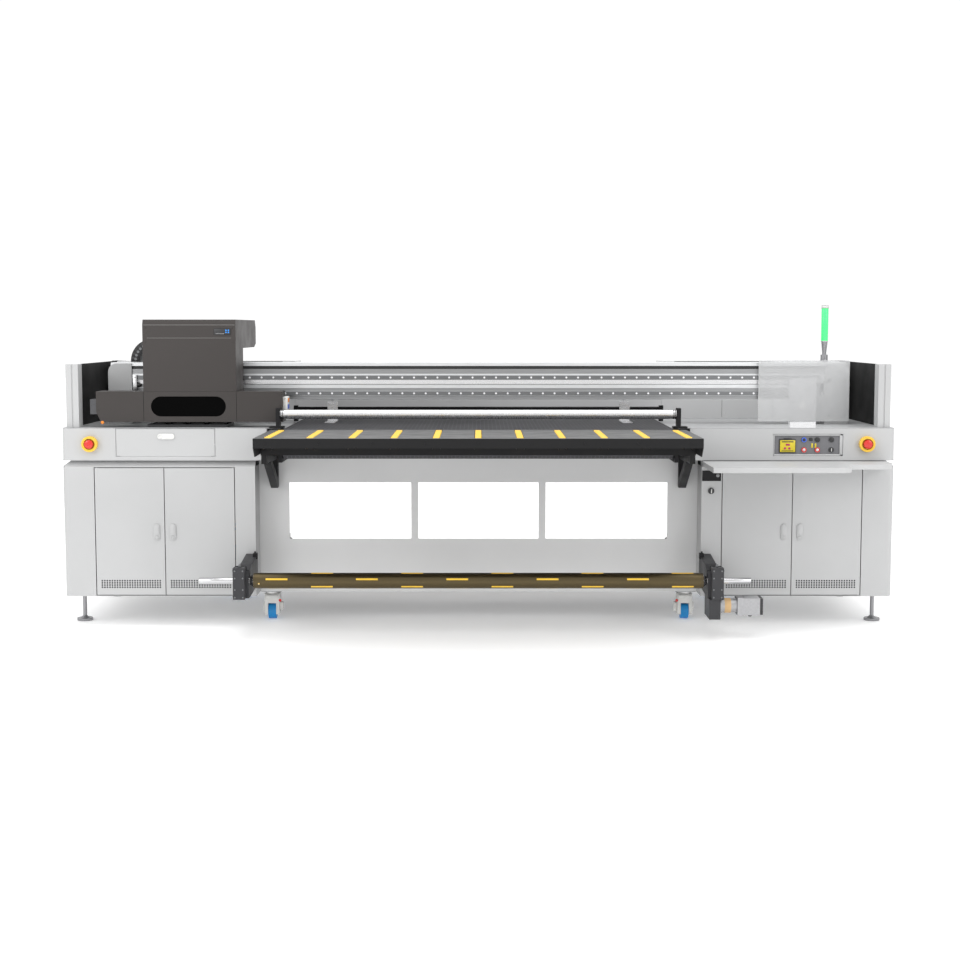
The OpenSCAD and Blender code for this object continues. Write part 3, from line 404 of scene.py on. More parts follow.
def ramp(mat, source, low, high):
    """Spreads a 0..1 value over low..high."""
    node = add(mat, "ShaderNodeMapRange")
    node.inputs["From Min"].default_value = 0.3
    node.inputs["From Max"].default_value = 0.7
    node.inputs["To Min"].default_value = low
    node.inputs["To Max"].default_value = high
    wire(mat, source, node.inputs["Value"])
    return node.outputs["Result"]


def mix_colours(mat, factor, first, second):
    node = add(mat, "ShaderNodeMix", data_type="RGBA")
    wire(mat, factor, node.inputs["Factor"])
    for name, value in (("A", first), ("B", second)):
        socket = [s for s in node.inputs if s.name == name and s.type == "RGBA"][0]
        if isinstance(value, bpy.types.NodeSocket):
            wire(mat, value, socket)
        else:
            socket.default_value = (*value[:3], 1)
    return [s for s in node.outputs if s.type == "RGBA"][0]


def shade(colour, amount):
    return tuple(min(1.0, c * amount) for c in colour[:3])


def set_colour(mat, output):
    wire(mat, output, mat.node_tree.nodes["Principled BSDF"].inputs["Base Color"])


def set_rough(mat, output):
    wire(mat, output, mat.node_tree.nodes["Principled BSDF"].inputs["Roughness"])


def set_bump(mat, height, strength, distance):
    bump = add(mat, "ShaderNodeBump", Strength=strength, Distance=distance)
    wire(mat, height, bump.inputs["Height"])
    wire(mat, bump.outputs["Normal"], mat.node_tree.nodes["Principled BSDF"].inputs["Normal"])


def powder_coat(name, colour, rough=0.42, grain=0.25, **sockets):
    """Fine textured paint: faint cloudy tone, a pebbled surface and duller patches from handling."""
    mat = new_material(name, colour, rough, **sockets)
    clouds = noise(mat, 2.2, detail=4.0)
    tone = ramp(mat, clouds, 0.0, 1.0)
    set_colour(mat, mix_colours(mat, tone, shade(colour, 0.965), shade(colour, 1.03)))
    set_rough(mat, ramp(mat, noise(mat, 9.0), rough - 0.06, rough + 0.08))
    set_bump(mat, noise(mat, 700.0, detail=2.0), grain, 0.0004)
    return mat


def brushed_metal(name, colour, rough=0.3, grain=(1, 40, 40), scale=14.0, depth=0.15):
    """Drawn or ground metal, with fine lines along its length."""
    mat = new_material(name, colour, rough, metallic=1.0)
    lines = noise(mat, scale, stretch=grain, detail=6.0)
    set_colour(mat, mix_colours(mat, ramp(mat, lines, 0.0, 1.0), shade(colour, 0.88), shade(colour, 1.08)))
    set_rough(mat, ramp(mat, lines, rough - 0.08, rough + 0.12))
    set_bump(mat, lines, depth, 0.0003)
    return mat


def moulded(name, colour, rough=0.4, grain=0.12, **sockets):
    """Moulded plastic: even colour, slight flow marks and a fine spark-eroded grain."""
    mat = new_material(name, colour, rough, **sockets)
    flow = noise(mat, 30.0, detail=2.0)
    set_colour(mat, mix_colours(mat, ramp(mat, flow, 0.0, 1.0), shade(colour, 0.94), shade(colour, 1.05)))
    set_rough(mat, ramp(mat, noise(mat, 60.0), max(0.05, rough - 0.07), rough + 0.07))
    set_bump(mat, noise(mat, 1500.0, detail=1.0), grain, 0.0002)
    return mat


def clear_sheet(name, colour, rough, alpha, **sockets):
    """Acrylic sheet with a faint haze."""
    mat = new_material(name, colour, rough, Alpha=alpha, **sockets)
    haze = noise(mat, 5.0, detail=3.0)
    set_rough(mat, ramp(mat, haze, rough, rough + 0.12))
    set_colour(mat, mix_colours(mat, ramp(mat, haze, 0, 1), shade(colour, 0.97), shade(colour, 1.03)))
    return mat


def belt_cloth(name, colour):
    """Dark woven belt with a fine square grid and a light dusting."""
    mat = new_material(name, colour, 0.62)
    bands = []
    for direction in ("X", "Y"):
        wave = add(mat, "ShaderNodeTexWave", bands_direction=direction, Scale=15.7)
        wire(mat, place_on(mat), wave.inputs["Vector"])
        bands.append(wave.outputs["Fac"])
    grid = add(mat, "ShaderNodeMath", operation="MAXIMUM")
    wire(mat, bands[0], grid.inputs[0])
    wire(mat, bands[1], grid.inputs[1])
    lines = add(mat, "ShaderNodeMapRange")
    lines.inputs["From Min"].default_value = 0.86
    lines.inputs["From Max"].default_value = 0.98
    wire(mat, grid.outputs[0], lines.inputs["Value"])
    dust = ramp(mat, noise(mat, 3.0, detail=5.0), 0.0, 1.0)
    cloth = mix_colours(mat, dust, shade(colour, 0.85), shade(colour, 1.25))
    set_colour(mat, mix_colours(mat, lines.outputs["Result"], cloth, shade(colour, 2.4)))
    set_bump(mat, noise(mat, 420.0, detail=2.0), 0.4, 0.0006)
    return mat


def glow(name, colour, strength):
    """A lit lens, with a fine bump and uneven roughness."""
    mat = new_material(name, colour, 0.25, Emission_Strength=strength)
    mat.node_tree.nodes["Principled BSDF"].inputs["Emission Color"].default_value = (*colour[:3], 1)
    set_bump(mat, noise(mat, 300.0), 0.1, 0.0003)
    set_rough(mat, ramp(mat, noise(mat, 40.0), 0.18, 0.32))
    return mat


FINISH = {}


class PrinterColours(bpy.types.PropertyGroup):
    """Paints and plastics that differ between versions of the machine."""

    body: bpy.props.FloatVectorProperty(
        name="Body paint", description="Cabinets, panels and doors",
        subtype="COLOR", size=3, default=(0.43, 0.433, 0.435), min=0, max=1,
    )
    deck: bpy.props.FloatVectorProperty(
        name="Deck paint", description="Flat decks beside the belt",
        subtype="COLOR", size=3, default=(0.40, 0.405, 0.41), min=0, max=1,
    )
    head: bpy.props.FloatVectorProperty(
        name="Head paint", description="Carriage cover and skirt",
        subtype="COLOR", size=3, default=(0.040, 0.035, 0.033), min=0, max=1,
    )
    table: bpy.props.FloatVectorProperty(
        name="Table paint", description="Front and rear tables",
        subtype="COLOR", size=3, default=(0.009, 0.009, 0.0095), min=0, max=1,
    )
    key: bpy.props.FloatVectorProperty(
        name="Accent yellow", description="Table wheels and shaft keys",
        subtype="COLOR", size=3, default=(0.80, 0.50, 0.04), min=0, max=1,
    )
    shaft: bpy.props.FloatVectorProperty(
        name="Roll shaft", description="Anodised roll shafts",
        subtype="COLOR", size=3, default=(0.105, 0.082, 0.045), min=0, max=1,
    )
    caster: bpy.props.FloatVectorProperty(
        name="Caster tread", description="Caster wheels",
        subtype="COLOR", size=3, default=(0.01, 0.26, 0.62), min=0, max=1,
    )
    lamp: bpy.props.FloatVectorProperty(
        name="Signal lamp", description="Lit lens of the signal lamp",
        subtype="COLOR", size=3, default=(0.06, 0.80, 0.20), min=0, max=1,
    )


class PrinterSizes(bpy.types.PropertyGroup):
    """Sizes of the fittings."""

    edge: bpy.props.FloatProperty(
        name="Edge radius", description="Rounding of sheet-metal edges",
        default=1.5 * MM, min=0.0, max=4 * MM, unit="LENGTH",
    )
    key_length: bpy.props.FloatProperty(
        name="Key length", description="Length of one gripping key on a roll shaft",
        default=0.104, min=0.02, max=0.3, unit="LENGTH",
    )
    key_pitch: bpy.props.FloatProperty(
        name="Key pitch", description="Distance between keys in one row",
        default=0.431, min=0.1, max=0.8, unit="LENGTH",
    )
    link_pitch: bpy.props.FloatProperty(
        name="Chain link pitch", description="Length of one cable-chain link",
        default=0.035, min=0.02, max=0.1, unit="LENGTH",
    )
    screw_pitch: bpy.props.FloatProperty(
        name="Rail screw pitch", description="Distance between guide-rail screws",
        default=0.060, min=0.03, max=0.2, unit="LENGTH",
    )
    key_rows: bpy.props.IntProperty(
        name="Key rows", description="Rows of keys round a roll shaft", default=6, min=2, max=8,
    )
    fins: bpy.props.IntProperty(
        name="Motor fins", description="Cooling fins on each motor", default=9, min=3, max=20,
    )


def colours():
    return bpy.context.scene.printer_colours


def sizes():
    return bpy.context.scene.printer_sizes


class PRINTER_OT_finishes(bpy.types.Operator):
    """Make every paint, metal and plastic of the machine"""

    bl_idname = "printer.finishes"
    bl_label = "Finishes"

    def execute(self, context):
        tone = colours()
        FINISH.update(
            body=powder_coat("body_paint", tone.body),
            bay=powder_coat("bay_paint", (0.62, 0.623, 0.625), rough=0.38),
            # painted light: a brighter copy of the body grey for the rear housing, which makes up for the beam's shadow
            # on it
            hood=powder_coat("hood_painted_light", (0.60, 0.602, 0.605), rough=0.38),
            deck=powder_coat("deck_paint", tone.deck, rough=0.36, grain=0.15),
            frame=powder_coat("frame_paint", (0.34, 0.345, 0.35), rough=0.45),
            head=powder_coat("head_paint", tone.head, rough=0.46, grain=0.5, Specular_IOR_Level=0.3),
            table=powder_coat("table_paint", tone.table, rough=0.45, grain=0.3, Specular_IOR_Level=0.2),
            # painted light: a lighter copy of the table paint, used on the upward faces of the tables
            table_top=powder_coat("table_top_painted_light", (0.085, 0.086, 0.087), rough=0.45, grain=0.2),
            black=powder_coat("black_paint", (0.010, 0.010, 0.011), rough=0.45, Specular_IOR_Level=0.2),
            bracket=powder_coat("bracket_paint", (0.035, 0.035, 0.038), rough=0.45, Specular_IOR_Level=0.3),
            beam=brushed_metal("beam_aluminium", (0.72, 0.73, 0.74), rough=0.34),
            rail=brushed_metal("rail_steel", (0.20, 0.205, 0.21), rough=0.36),
            band=brushed_metal("band_anodised", (0.33, 0.335, 0.34), rough=0.4),
            chrome=brushed_metal("journal_chrome", (0.58, 0.58, 0.59), rough=0.2, depth=0.04),
            # glint: zinc-plated screws in a flat near-white, partly their own colour and partly a painted glint
            glint=moulded("screw_zinc_painted_glint", (0.85, 0.85, 0.86), rough=0.25),
            neck=brushed_metal("lamp_neck", (0.30, 0.30, 0.31), rough=0.35),
            seam=moulded("seam_shadow", (0.16, 0.155, 0.15), rough=0.6),
            gap=moulded("gap_shadow", (0.012, 0.012, 0.012), rough=0.7, Specular_IOR_Level=0.1),
            gloss=moulded("panel_gloss", (0.12, 0.12, 0.13), rough=0.08, grain=0.02, Coat_Weight=0.8),
            meter=moulded("meter_face", (0.62, 0.50, 0.02), rough=0.35),
            magenta=moulded("meter_keys", (0.42, 0.02, 0.12), rough=0.3),
            blue=moulded("blue_ring", (0.05, 0.12, 0.55), rough=0.3),
            orange=moulded("orange_plastic", (0.80, 0.24, 0.02), rough=0.35),
            steel=brushed_metal("bright_steel", (0.72, 0.72, 0.73), rough=0.25),
            roller=brushed_metal("roller_aluminium", (0.75, 0.75, 0.76), rough=0.28, grain=(60, 4, 4)),
            motor=brushed_metal("motor_aluminium", (0.40, 0.40, 0.41), rough=0.4, grain=(8, 8, 8)),
            shaft=brushed_metal("shaft_anodised", tone.shaft, rough=0.36, grain=(40, 6, 6)),
            dark_metal=brushed_metal("head_metal", (0.10, 0.10, 0.105), rough=0.4, grain=(10, 10, 10)),
            belt=belt_cloth("belt_cloth", (0.030, 0.030, 0.033)),
            chain=moulded("chain_plastic", (0.018, 0.018, 0.019), rough=0.45),
            dark=moulded("dark_plastic", (0.022, 0.022, 0.024), rough=0.38),
            white=moulded("white_plastic", (0.70, 0.70, 0.68), rough=0.42),
            tank=moulded("tank_plastic", (0.62, 0.62, 0.58), rough=0.35, Subsurface_Weight=0.1),
            shelf=powder_coat("shelf_laminate", shade(tone.body, 1.02), rough=0.45, grain=0.05),
            key=moulded("yellow_plastic", tone.key, rough=0.36),
            red=moulded("red_plastic", (0.62, 0.018, 0.012), rough=0.25, Coat_Weight=0.4),
            caster=moulded("caster_plastic", tone.caster, rough=0.4),
            tan=moulded("tan_band", (0.55, 0.36, 0.17), rough=0.5),
            smoked=clear_sheet("smoked_acrylic", (0.001, 0.001, 0.001), 0.30, 1.0, Specular_IOR_Level=0.03),
            frosted=clear_sheet("frosted_acrylic", (0.62, 0.625, 0.63), 0.35, 0.45, Coat_Weight=0.4),
            window=clear_sheet("window_acrylic", (0.001, 0.001, 0.001), 0.20, 1.0, Specular_IOR_Level=0.03),
            lamp=glow("lamp_lens", tone.lamp, 0.35),
            blue_light=glow("blue_light", (0.02, 0.20, 0.60), 0.6),
        )
        for ink, colour in (
            ("cyan", (0.0, 0.30, 0.55)), ("magenta", (0.55, 0.01, 0.18)), ("yellow", (0.75, 0.60, 0.02)),
            ("black", (0.015, 0.015, 0.017)), ("white", (0.72, 0.72, 0.72)),
        ):
            FINISH[ink + "_ink"] = moulded(ink + "_ink_label", colour, rough=0.3)
        return {"FINISHED"}


# CAD nodes shown with softened edges, and the finish of each
SKINS = {
    "frame": ["base_frame"],
    "body": [
        "left_cabinet", "right_cabinet", "left_fascia", "right_fascia", "deck_frames", "flap",
        "left_outer_door", "left_inner_door", "right_inner_door", "right_outer_door",
    ],
    "bay": ["window_panels"],
    # the rear housing takes the brighter hood copy of the body grey, painted light against the beam's shadow
    "hood": ["rear_housing"],
    "deck": ["decks"],
    "smoked": ["smoked_panels"],
    "frosted": ["guard_panel"],
    "beam": ["gantry_beam", "vacuum_table"],
    "table": ["tables"],
    "black": ["belt_cheeks", "table_brackets", "web_supports"],
    "bracket": ["roll_brackets"],
    "steel": ["carriage_drive", "left_media_guide", "right_media_guide"],
    "neck": ["levelling_feet"],
    "white": ["left_caster_fork", "right_caster_fork"],
    "dark_metal": ["carriage_frame", "print_heads"],
    "head": ["head_cover", "head_skirt"],
    "shelf": ["writing_shelf"],
    "dark": ["capping_station", "main_switch"],
    "tank": ["ink_tanks"],
}
# CAD nodes whose own mesh is shown
PLAIN = {
    "belt": ["print_belt"],
    "rail": ["guide_rails"],
    "roller": ["drive_roller", "idler_roller", "guide_roller"],
    "shaft": ["takeup_shaft", "feed_shaft"],
    "key": ["table_wheels", "estop_collars"],
    "black": ["control_panel"],
    "red": ["left_estop", "right_estop", "start_button", "stop_button"],
    "bay": ["control_box"],
    "motor": ["gear_motors"],
    "neck": ["signal_lamp"],
    "caster": ["left_caster_wheel", "right_caster_wheel", "rear_casters"],
    "chain": ["chain_lower_run", "chain_upper_run", "chain_bend"],
}


class PRINTER_OT_panels(bpy.types.Operator):
    """Show the CAD parts with their finishes and softened edges"""

    bl_idname = "printer.panels"
    bl_label = "Panels and frame"

    def execute(self, context):
        for finish, nodes in SKINS.items():
            for node in nodes:
                skin(node, finish, sizes().edge)
        # the upward faces of the tables get the lighter copy of the table paint, which paints light onto their tops
        table = bpy.data.objects["tables_skin"].data
        table.materials.append(FINISH["table_top"])
        for face in table.polygons:
            if face.normal.z > 0.9 and face.center.z > DECK - 0.02:
                face.material_index = 1
        for finish, nodes in PLAIN.items():
            for node in nodes:
                mesh = frame["nodes"][node].data
                mesh.materials.clear()
                mesh.materials.append(FINISH[finish])
        return {"FINISHED"}


def at(x, y, z):
    """A point given in millimetres from the body's front face, as a frame position."""
    return Vector((x * MM, FRONT + y * MM, z * MM))


def bar(bm, x0, x1, y0, y1, z0, z1, edge=0.0, index=0):
    """A box between planes given in millimetres from the body's front face."""
    slab(bm, at(x0, y0, z0), at(x1, y1, z1), edge * MM, index)


class PRINTER_OT_head(bpy.types.Operator):
    """Display, window, seams, screws and lamp end of the print head"""

    bl_idname = "printer.head"
    bl_label = "Print head fittings"

    def execute(self, context):
        cover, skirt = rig.box("head_cover"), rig.box("head_skirt")
        x0, x1 = cover[0].x / MM, cover[1].x / MM
        face = (cover[0].y - FRONT) / MM
        top, low = cover[1].z / MM, skirt[0].z / MM
        s0, s1, high = skirt[0].x / MM, skirt[1].x / MM, skirt[1].z / MM

        bm = bmesh.new()
        bar(bm, x1 - 106, x1 - 22, face - 3, face + 1, top - 74, top - 44, edge=3)
        for i in range(6):
            bar(bm, x1 - 96 + i * 7, x1 - 92 + i * 7, face - 3.6, face - 2.9, top - 71, top - 69, index=1)
        for i in (0, 1):
            for j in (0, 1):
                spot = at(x1 - 46 + 12 * i, face - 3, top - 63 + 10 * j)
                turned(bm, spot, spot + Vector((0, -0.001, 0)), 0.0036, index=2, sides=16)
        piece("head_display", bm, "dark steel blue_light", "carriage")

        bm = bmesh.new()
        bar(bm, x0 + 3, x1 - 3, face - 0.5, face + 1, top - 28, top - 25.5)
        bar(bm, x0 + 22, x1 - 22, face - 0.5, face + 1, top - 92, top - 90)
        for x in (x0, x1):
            bar(bm, x - 1, x + 1, face - 0.4, face + 1, low + 2, high - 2, index=1)
        piece("head_seams", bm, "seam gap", "carriage")

        bm = bmesh.new()
        centre = at((s0 + s1) / 2 - 4, face + 8, low + 77)
        oblong_plate(bm, centre, 0.385, 0.111, 0.004)
        piece("skirt_window", bm, "window", "carriage")

        bm = bmesh.new()
        for x in (x0 + 14, x1 - 14):
            for z in (high + 14, top - 110, top - 14 - 26):
                screw_head(bm, at(x, face, z), (0, -1, 0), 0.003)
        for x in (s0 + 14, s1 - 14):
            for z in (low + 64, high - 14):
                screw_head(bm, at(x, face, z), (0, -1, 0), 0.0035)
        piece("head_screws", bm, "head", "carriage")

        bm = bmesh.new()
        bar(bm, s1, s1 + 22, face + 22, face + 110, low + 58, low + 124, edge=2)
        bar(bm, s1 + 21, s1 + 22.8, face + 40, face + 104, low + 96, low + 116, edge=0.4, index=1)
        bar(bm, s1 + 21, s1 + 22.8, face + 30, face + 104, low + 62, low + 86, edge=0.4, index=2)
        for z in (low + 64, low + 118):
            screw_head(bm, at(s1 + 11, face + 22, z), (0, -1, 0), 0.0035, index=3)
        piece("lamp_end", bm, "white orange blue steel", "carriage")

        bm = bmesh.new()
        spot = at(s0 + 30, face + 12, low - 2)
        turned(bm, spot, spot + Vector((0, -0.014, 0)), 0.008, edge=0.002)
        turned(bm, spot + Vector((0, 0.016, 0)), spot, 0.005, index=1)
        piece("skirt_sensor", bm, "orange steel", "carriage")

        # heads: nozzle plates below, ink connectors above
        bm = bmesh.new()
        middle = (s0 + s1) / 2
        for i in range(4):
            for row in (0, 1):
                hx, hy = middle - 140 + i * 88, 136 + row * 88
                bar(bm, hx - 26, hx + 26, hy - 32, hy + 32, low - 3, low - 1.8, index=1)
                for side in (-1, 1):
                    spot = at(hx + side * 16, hy, low + 70)
                    turned(bm, spot, spot + Vector((0, 0, 0.030)), 0.006, index=0)
                    turned(bm, spot + Vector((0, 0, 0.030)), spot + Vector((0, 0, 0.042)), 0.009, 0.007,
                           index=2)
        piece("head_connectors", bm, "dark steel white", "carriage")
        return {"FINISHED"}


class PRINTER_OT_gantry(bpy.types.Operator):
    """Beam grooves, drive strip, rail screws, bearings and the belt drive behind the guard"""

    bl_idname = "printer.gantry"
    bl_label = "Gantry details"

    def execute(self, context):
        beam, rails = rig.box("gantry_beam"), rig.box("guide_rails")
        reach = beam[1].x / MM
        face = BEAM_FACE
        high = beam[1].z / MM
        low = high - BAND_H

        # coloured bands of the extruded face
        bm = bmesh.new()
        for z0, z1, finish in (
            (high - 33, high - 16, 1), (high - 57, high - 33, 2), (high - 87, high - 66, 2),
            (high - 113, high - 99, 2), (low + 44, low + 59, 2), (low + 2, low + 20, 2),
        ):
            depth = 5.4 if finish == 1 else 0
            bar(bm, -reach + 1, reach - 1, face + depth - 0.5, face + depth + 0.4, z0, z1, index=finish)
        for z in (high - 16, high - 66, low + 61):
            bar(bm, -reach + 1, reach - 1, face - 1.2, face + 0.4, z - 1, z + 1, index=0)
        piece("beam_bands", bm, "beam chain band", "machine")

        # the rail screws take the glint finish: painted glints on real screw heads
        bm = bmesh.new()
        pitch = sizes().screw_pitch / MM
        span = rails[1].x / MM - 30
        count = int(2 * span // pitch)
        for z in (low + 32, low + 113):
            for i in range(count + 1):
                x = (i - count / 2) * pitch
                spot = at(x, face - 14.8, z)
                turned(bm, spot, spot + Vector((0, -0.0022, 0)), 0.0052, index=0, sides=12, edge=0.0006)
        piece("rail_screws", bm, "glint", "machine")

        # end stops and the toothed belt's pulley behind the guard
        bm = bmesh.new()
        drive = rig.box("carriage_drive")
        plate_x = drive[1].x / MM - 143
        plate_face = 308
        for side in (-1, 1):
            before = set(bm.faces)
            bar(bm, plate_x + 71 + side * 45 - 3, plate_x + 71 + side * 45 + 3, plate_face - 1.6, plate_face,
                low + 62, low + 86, edge=0.6)
            verts = list({v for f in select_new(bm, before) for v in f.verts})
            centre = at(plate_x + 71 + side * 45, plate_face, low + 74)
            bmesh.ops.rotate(bm, verts=verts, cent=centre, matrix=Matrix.Rotation(side * 0.75, 3, "Y"))
        for x in (12, 131):
            for z in (DECK / MM + 16, low + 14, low + 100):
                screw_head(bm, at(plate_x + x, plate_face, z), (0, -1, 0), 0.006)
        piece("drive_plate_fittings", bm, "steel", "machine")

        bm = bmesh.new()
        spot = at(plate_x + 71, plate_face - 1.6, DECK / MM + 95)
        turned(bm, spot, spot + Vector((0, -0.003, 0)), 0.019, edge=0.002, sides=36)
        ring(bm, spot + Vector((0, -0.003, 0)), (0, 1, 0), 0.013, 0.006, 0.001, index=1)
        for k in range(6):
            turn = Matrix.Rotation(k * math.tau / 6, 3, "Y")
            screw_head(bm, spot + Vector((0, -0.003, 0)) + turn @ Vector((0.0155, 0, 0)), (0, -1, 0), 0.0018,
                       index=1)
        piece("drive_pulley_cap", bm, "white steel", "machine")

        bm = bmesh.new()
        for side in (-1, 1):
            x = side * (rails[1].x / MM + 12)
            bar(bm, x - 10, x + 10, face - 26, face - 0.5, low + 20, low + 126, edge=2, index=0)
            turned(bm, at(x - side * 10, face - 14, low + 74), at(x - side * 30, face - 14, low + 74), 0.011,
                   0.008,
                   index=1, edge=0.002)
            # the screws of the stops take the glint finish: painted glints on real screw heads
            for z in (low + 30, low + 116):
                screw_head(bm, at(x, face - 26, z), (0, -1, 0), 0.005, index=2)
        piece("travel_stops", bm, "steel chain glint", "machine")

        # seals and grease points of the rail bearings
        bm = bmesh.new()
        middle = (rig.box("head_skirt")[0].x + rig.box("head_skirt")[1].x) / 2 / MM
        for x in (-170, 80):
            for z in (low + 32, low + 113):
                for edge_x in (x, x + 90):
                    bar(bm, middle + edge_x - 2, middle + edge_x + 2, face - 24, face - 16.4, z - 24, z + 24,
                        index=1)
                spot = at(middle + x + 45, face - 22, z + 26)
                turned(bm, spot, spot + Vector((0, 0, 0.006)), 0.003, index=0, sides=12)
        piece("bearing_seals", bm, "steel chain", "carriage")
        return {"FINISHED"}


class PRINTER_OT_chain(bpy.types.Operator):
    """Links of the cable chain: the lower run, the upper run, the bend and the end clamp"""

    bl_idname = "printer.chain"
    bl_label = "Cable chain"

    def link(self, bm, x, y0, y1, z0, z1, length):
        """Two side plates, two cross bars and a pin."""
        for y in (y0, y1 - 8):
            bar(bm, x, x + length * 0.96, y, y + 8, z0, z1, edge=1.5)
        for z in (z0 + 1, z1 - 6):
            bar(bm, x + length * 0.25, x + length * 0.6, y0 + 7, y1 - 7, z, z + 5, edge=0.8)
        spot = at(x + length * 0.5, y0, (z0 + z1) / 2)
        turned(bm, spot, spot + Vector((0, -0.002, 0)), 0.007, index=1, sides=16)

    def execute(self, context):
        run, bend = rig.box("chain_lower_run"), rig.box("chain_bend")
        y0, y1 = (run[0].y - FRONT) / MM + 0.5, (run[1].y - FRONT) / MM - 0.5
        x0, x1 = run[0].x / MM, run[1].x / MM
        z0, z1 = run[0].z / MM, run[1].z / MM
        count = max(2, int((x1 - x0) / (sizes().link_pitch / MM)))
        step = (x1 - x0) / count
        bm = bmesh.new()
        for i in range(count):
            self.link(bm, x0 + i * step, y0, y1, z0, z1, step)
        obj = piece("chain_links", bm, "chain rail", "machine", ["chain_lower_run"])
        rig.squash(obj, "carriage_travel", X, (0, 0, 0), keep=0.303)

        # the upper run stretches out between the bend and the carriage
        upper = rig.box("chain_upper_run")
        u0, u1 = upper[0].x / MM, upper[1].x / MM
        top0, top1 = upper[0].z / MM, upper[1].z / MM
        step = (u1 - u0) / 12
        bm = bmesh.new()
        for i in range(12):
            self.link(bm, u0 + i * step, y0, y1, top0, top1, step)
        obj = piece("chain_upper_links", bm, "chain rail", None, ["chain_upper_run"])
        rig.blend(obj, "chain_bend", "carriage", at(u0, y0, top0), at(u1, y0, top0))

        # link plates and pins on the sides of the bend, turned about its centre
        radius = (bend[1].z - bend[0].z) / 2 / MM
        depth = z1 - z0
        centre_x = bend[1].x / MM
        centre_z = (bend[0].z + bend[1].z) / 2 / MM
        parts = 14
        arc = math.pi / parts
        plate = arc * (radius - depth / 2) * 0.46
        bm = bmesh.new()
        for i in range(parts):
            before = set(bm.faces)
            for side_y in (y0 - 1.4, y1 - 1.6):
                bar(bm, centre_x - plate, centre_x + plate, side_y, side_y + 3,
                    centre_z + radius - depth + 5, centre_z + radius - 5, edge=0.8)
            spot = at(centre_x, y0 - 1, centre_z + radius - depth / 2)
            turned(bm, spot, spot + Vector((0, -0.002, 0)), 0.007, index=1, sides=16)
            verts = list({v for f in select_new(bm, before) for v in f.verts})
            bmesh.ops.rotate(bm, verts=verts, cent=at(centre_x, 0, centre_z),
                             matrix=Matrix.Rotation(-(i + 0.5) * arc, 3, "Y"))
        piece("chain_bend_links", bm, "chain rail", "chain_bend")

        # the clamp that fixes the chain's end to the tray
        bm = bmesh.new()
        bar(bm, x1 + 1, x1 + 42, y0, y1, z0, z0 + 6, edge=1)
        for y in (y0 + 14, y1 - 14):
            turned(bm, at(x1 + 24, y, z0 + 6), at(x1 + 24, y, z0 + 12), 0.006, sides=6)
        piece("chain_clamp", bm, "steel", "machine")
        return {"FINISHED"}


class PRINTER_OT_shafts(bpy.types.Operator):
    """Gripping keys, bright journals and air valves of the roll shafts"""

    bl_idname = "printer.shafts"
    bl_label = "Roll shafts"

    def execute(self, context):
        rows, pitch, length = sizes().key_rows, sizes().key_pitch, sizes().key_length
        for node in ("takeup_shaft", "feed_shaft"):
            low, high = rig.box(node)
            axis = Vector((0, (low.y + high.y) / 2, (low.z + high.z) / 2))
            radius = (high.z - low.z) / 2
            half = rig.box("roll_brackets")[1].x - 0.071 - 0.022

            bm = bmesh.new()
            for row in range(rows):
                angle = math.radians(-41 + row * 360 / rows)
                out = Vector((0, -math.cos(angle), math.sin(angle)))
                first = half - 0.098 - (pitch / 2 if row % 2 else 0)
                for k in range(5):
                    middle = axis + X * (first - k * pitch)
                    if middle.x - length / 2 < -half:
                        continue
                    before = set(bm.faces)
                    slab(bm, middle + Vector((-length / 2, -0.0045, radius - 0.004)),
                         middle + Vector((length / 2, 0.0045, radius + 0.0016)), 0.0012)
                    verts = list({v for f in select_new(bm, before) for v in f.verts})
                    turn = Z.rotation_difference(out).to_matrix()
                    bmesh.ops.rotate(bm, verts=verts, cent=middle, matrix=turn)
            piece(node + "_keys", bm, "key", node)

            bm = bmesh.new()
            for side in (-1, 1):
                end = half * side
                turned(bm, axis + X * end, axis + X * (end + side * 0.0195), radius - 0.0045, 0.0185,
                       edge=0.001, sides=40)
                turned(bm, axis + X * (end + side * 0.019), axis + X * (high.x if side > 0 else low.x),
                       0.01432, edge=0.001, sides=40)
                for groove in (0.004, 0.009):
                    ring(bm, axis + X * (end - side * groove), X, radius + 0.0003, radius - 0.002, 0.0008,
                         index=1, sides=40)
            piece(node + "_journals", bm, "chrome chain", node)

            bm = bmesh.new()
            out = Vector((0, -math.cos(0.25), -math.sin(0.25)))
            spot = axis + X * (0.028 - half) + out * (radius - 0.001)
            turned(bm, spot, spot + out * 0.003, 0.004, sides=16, edge=0.0006)
            turned(bm, spot + out * 0.003, spot + out * 0.0055, 0.002, index=1, sides=12)
            piece(node + "_valve", bm, "key steel", node)
        return {"FINISHED"}


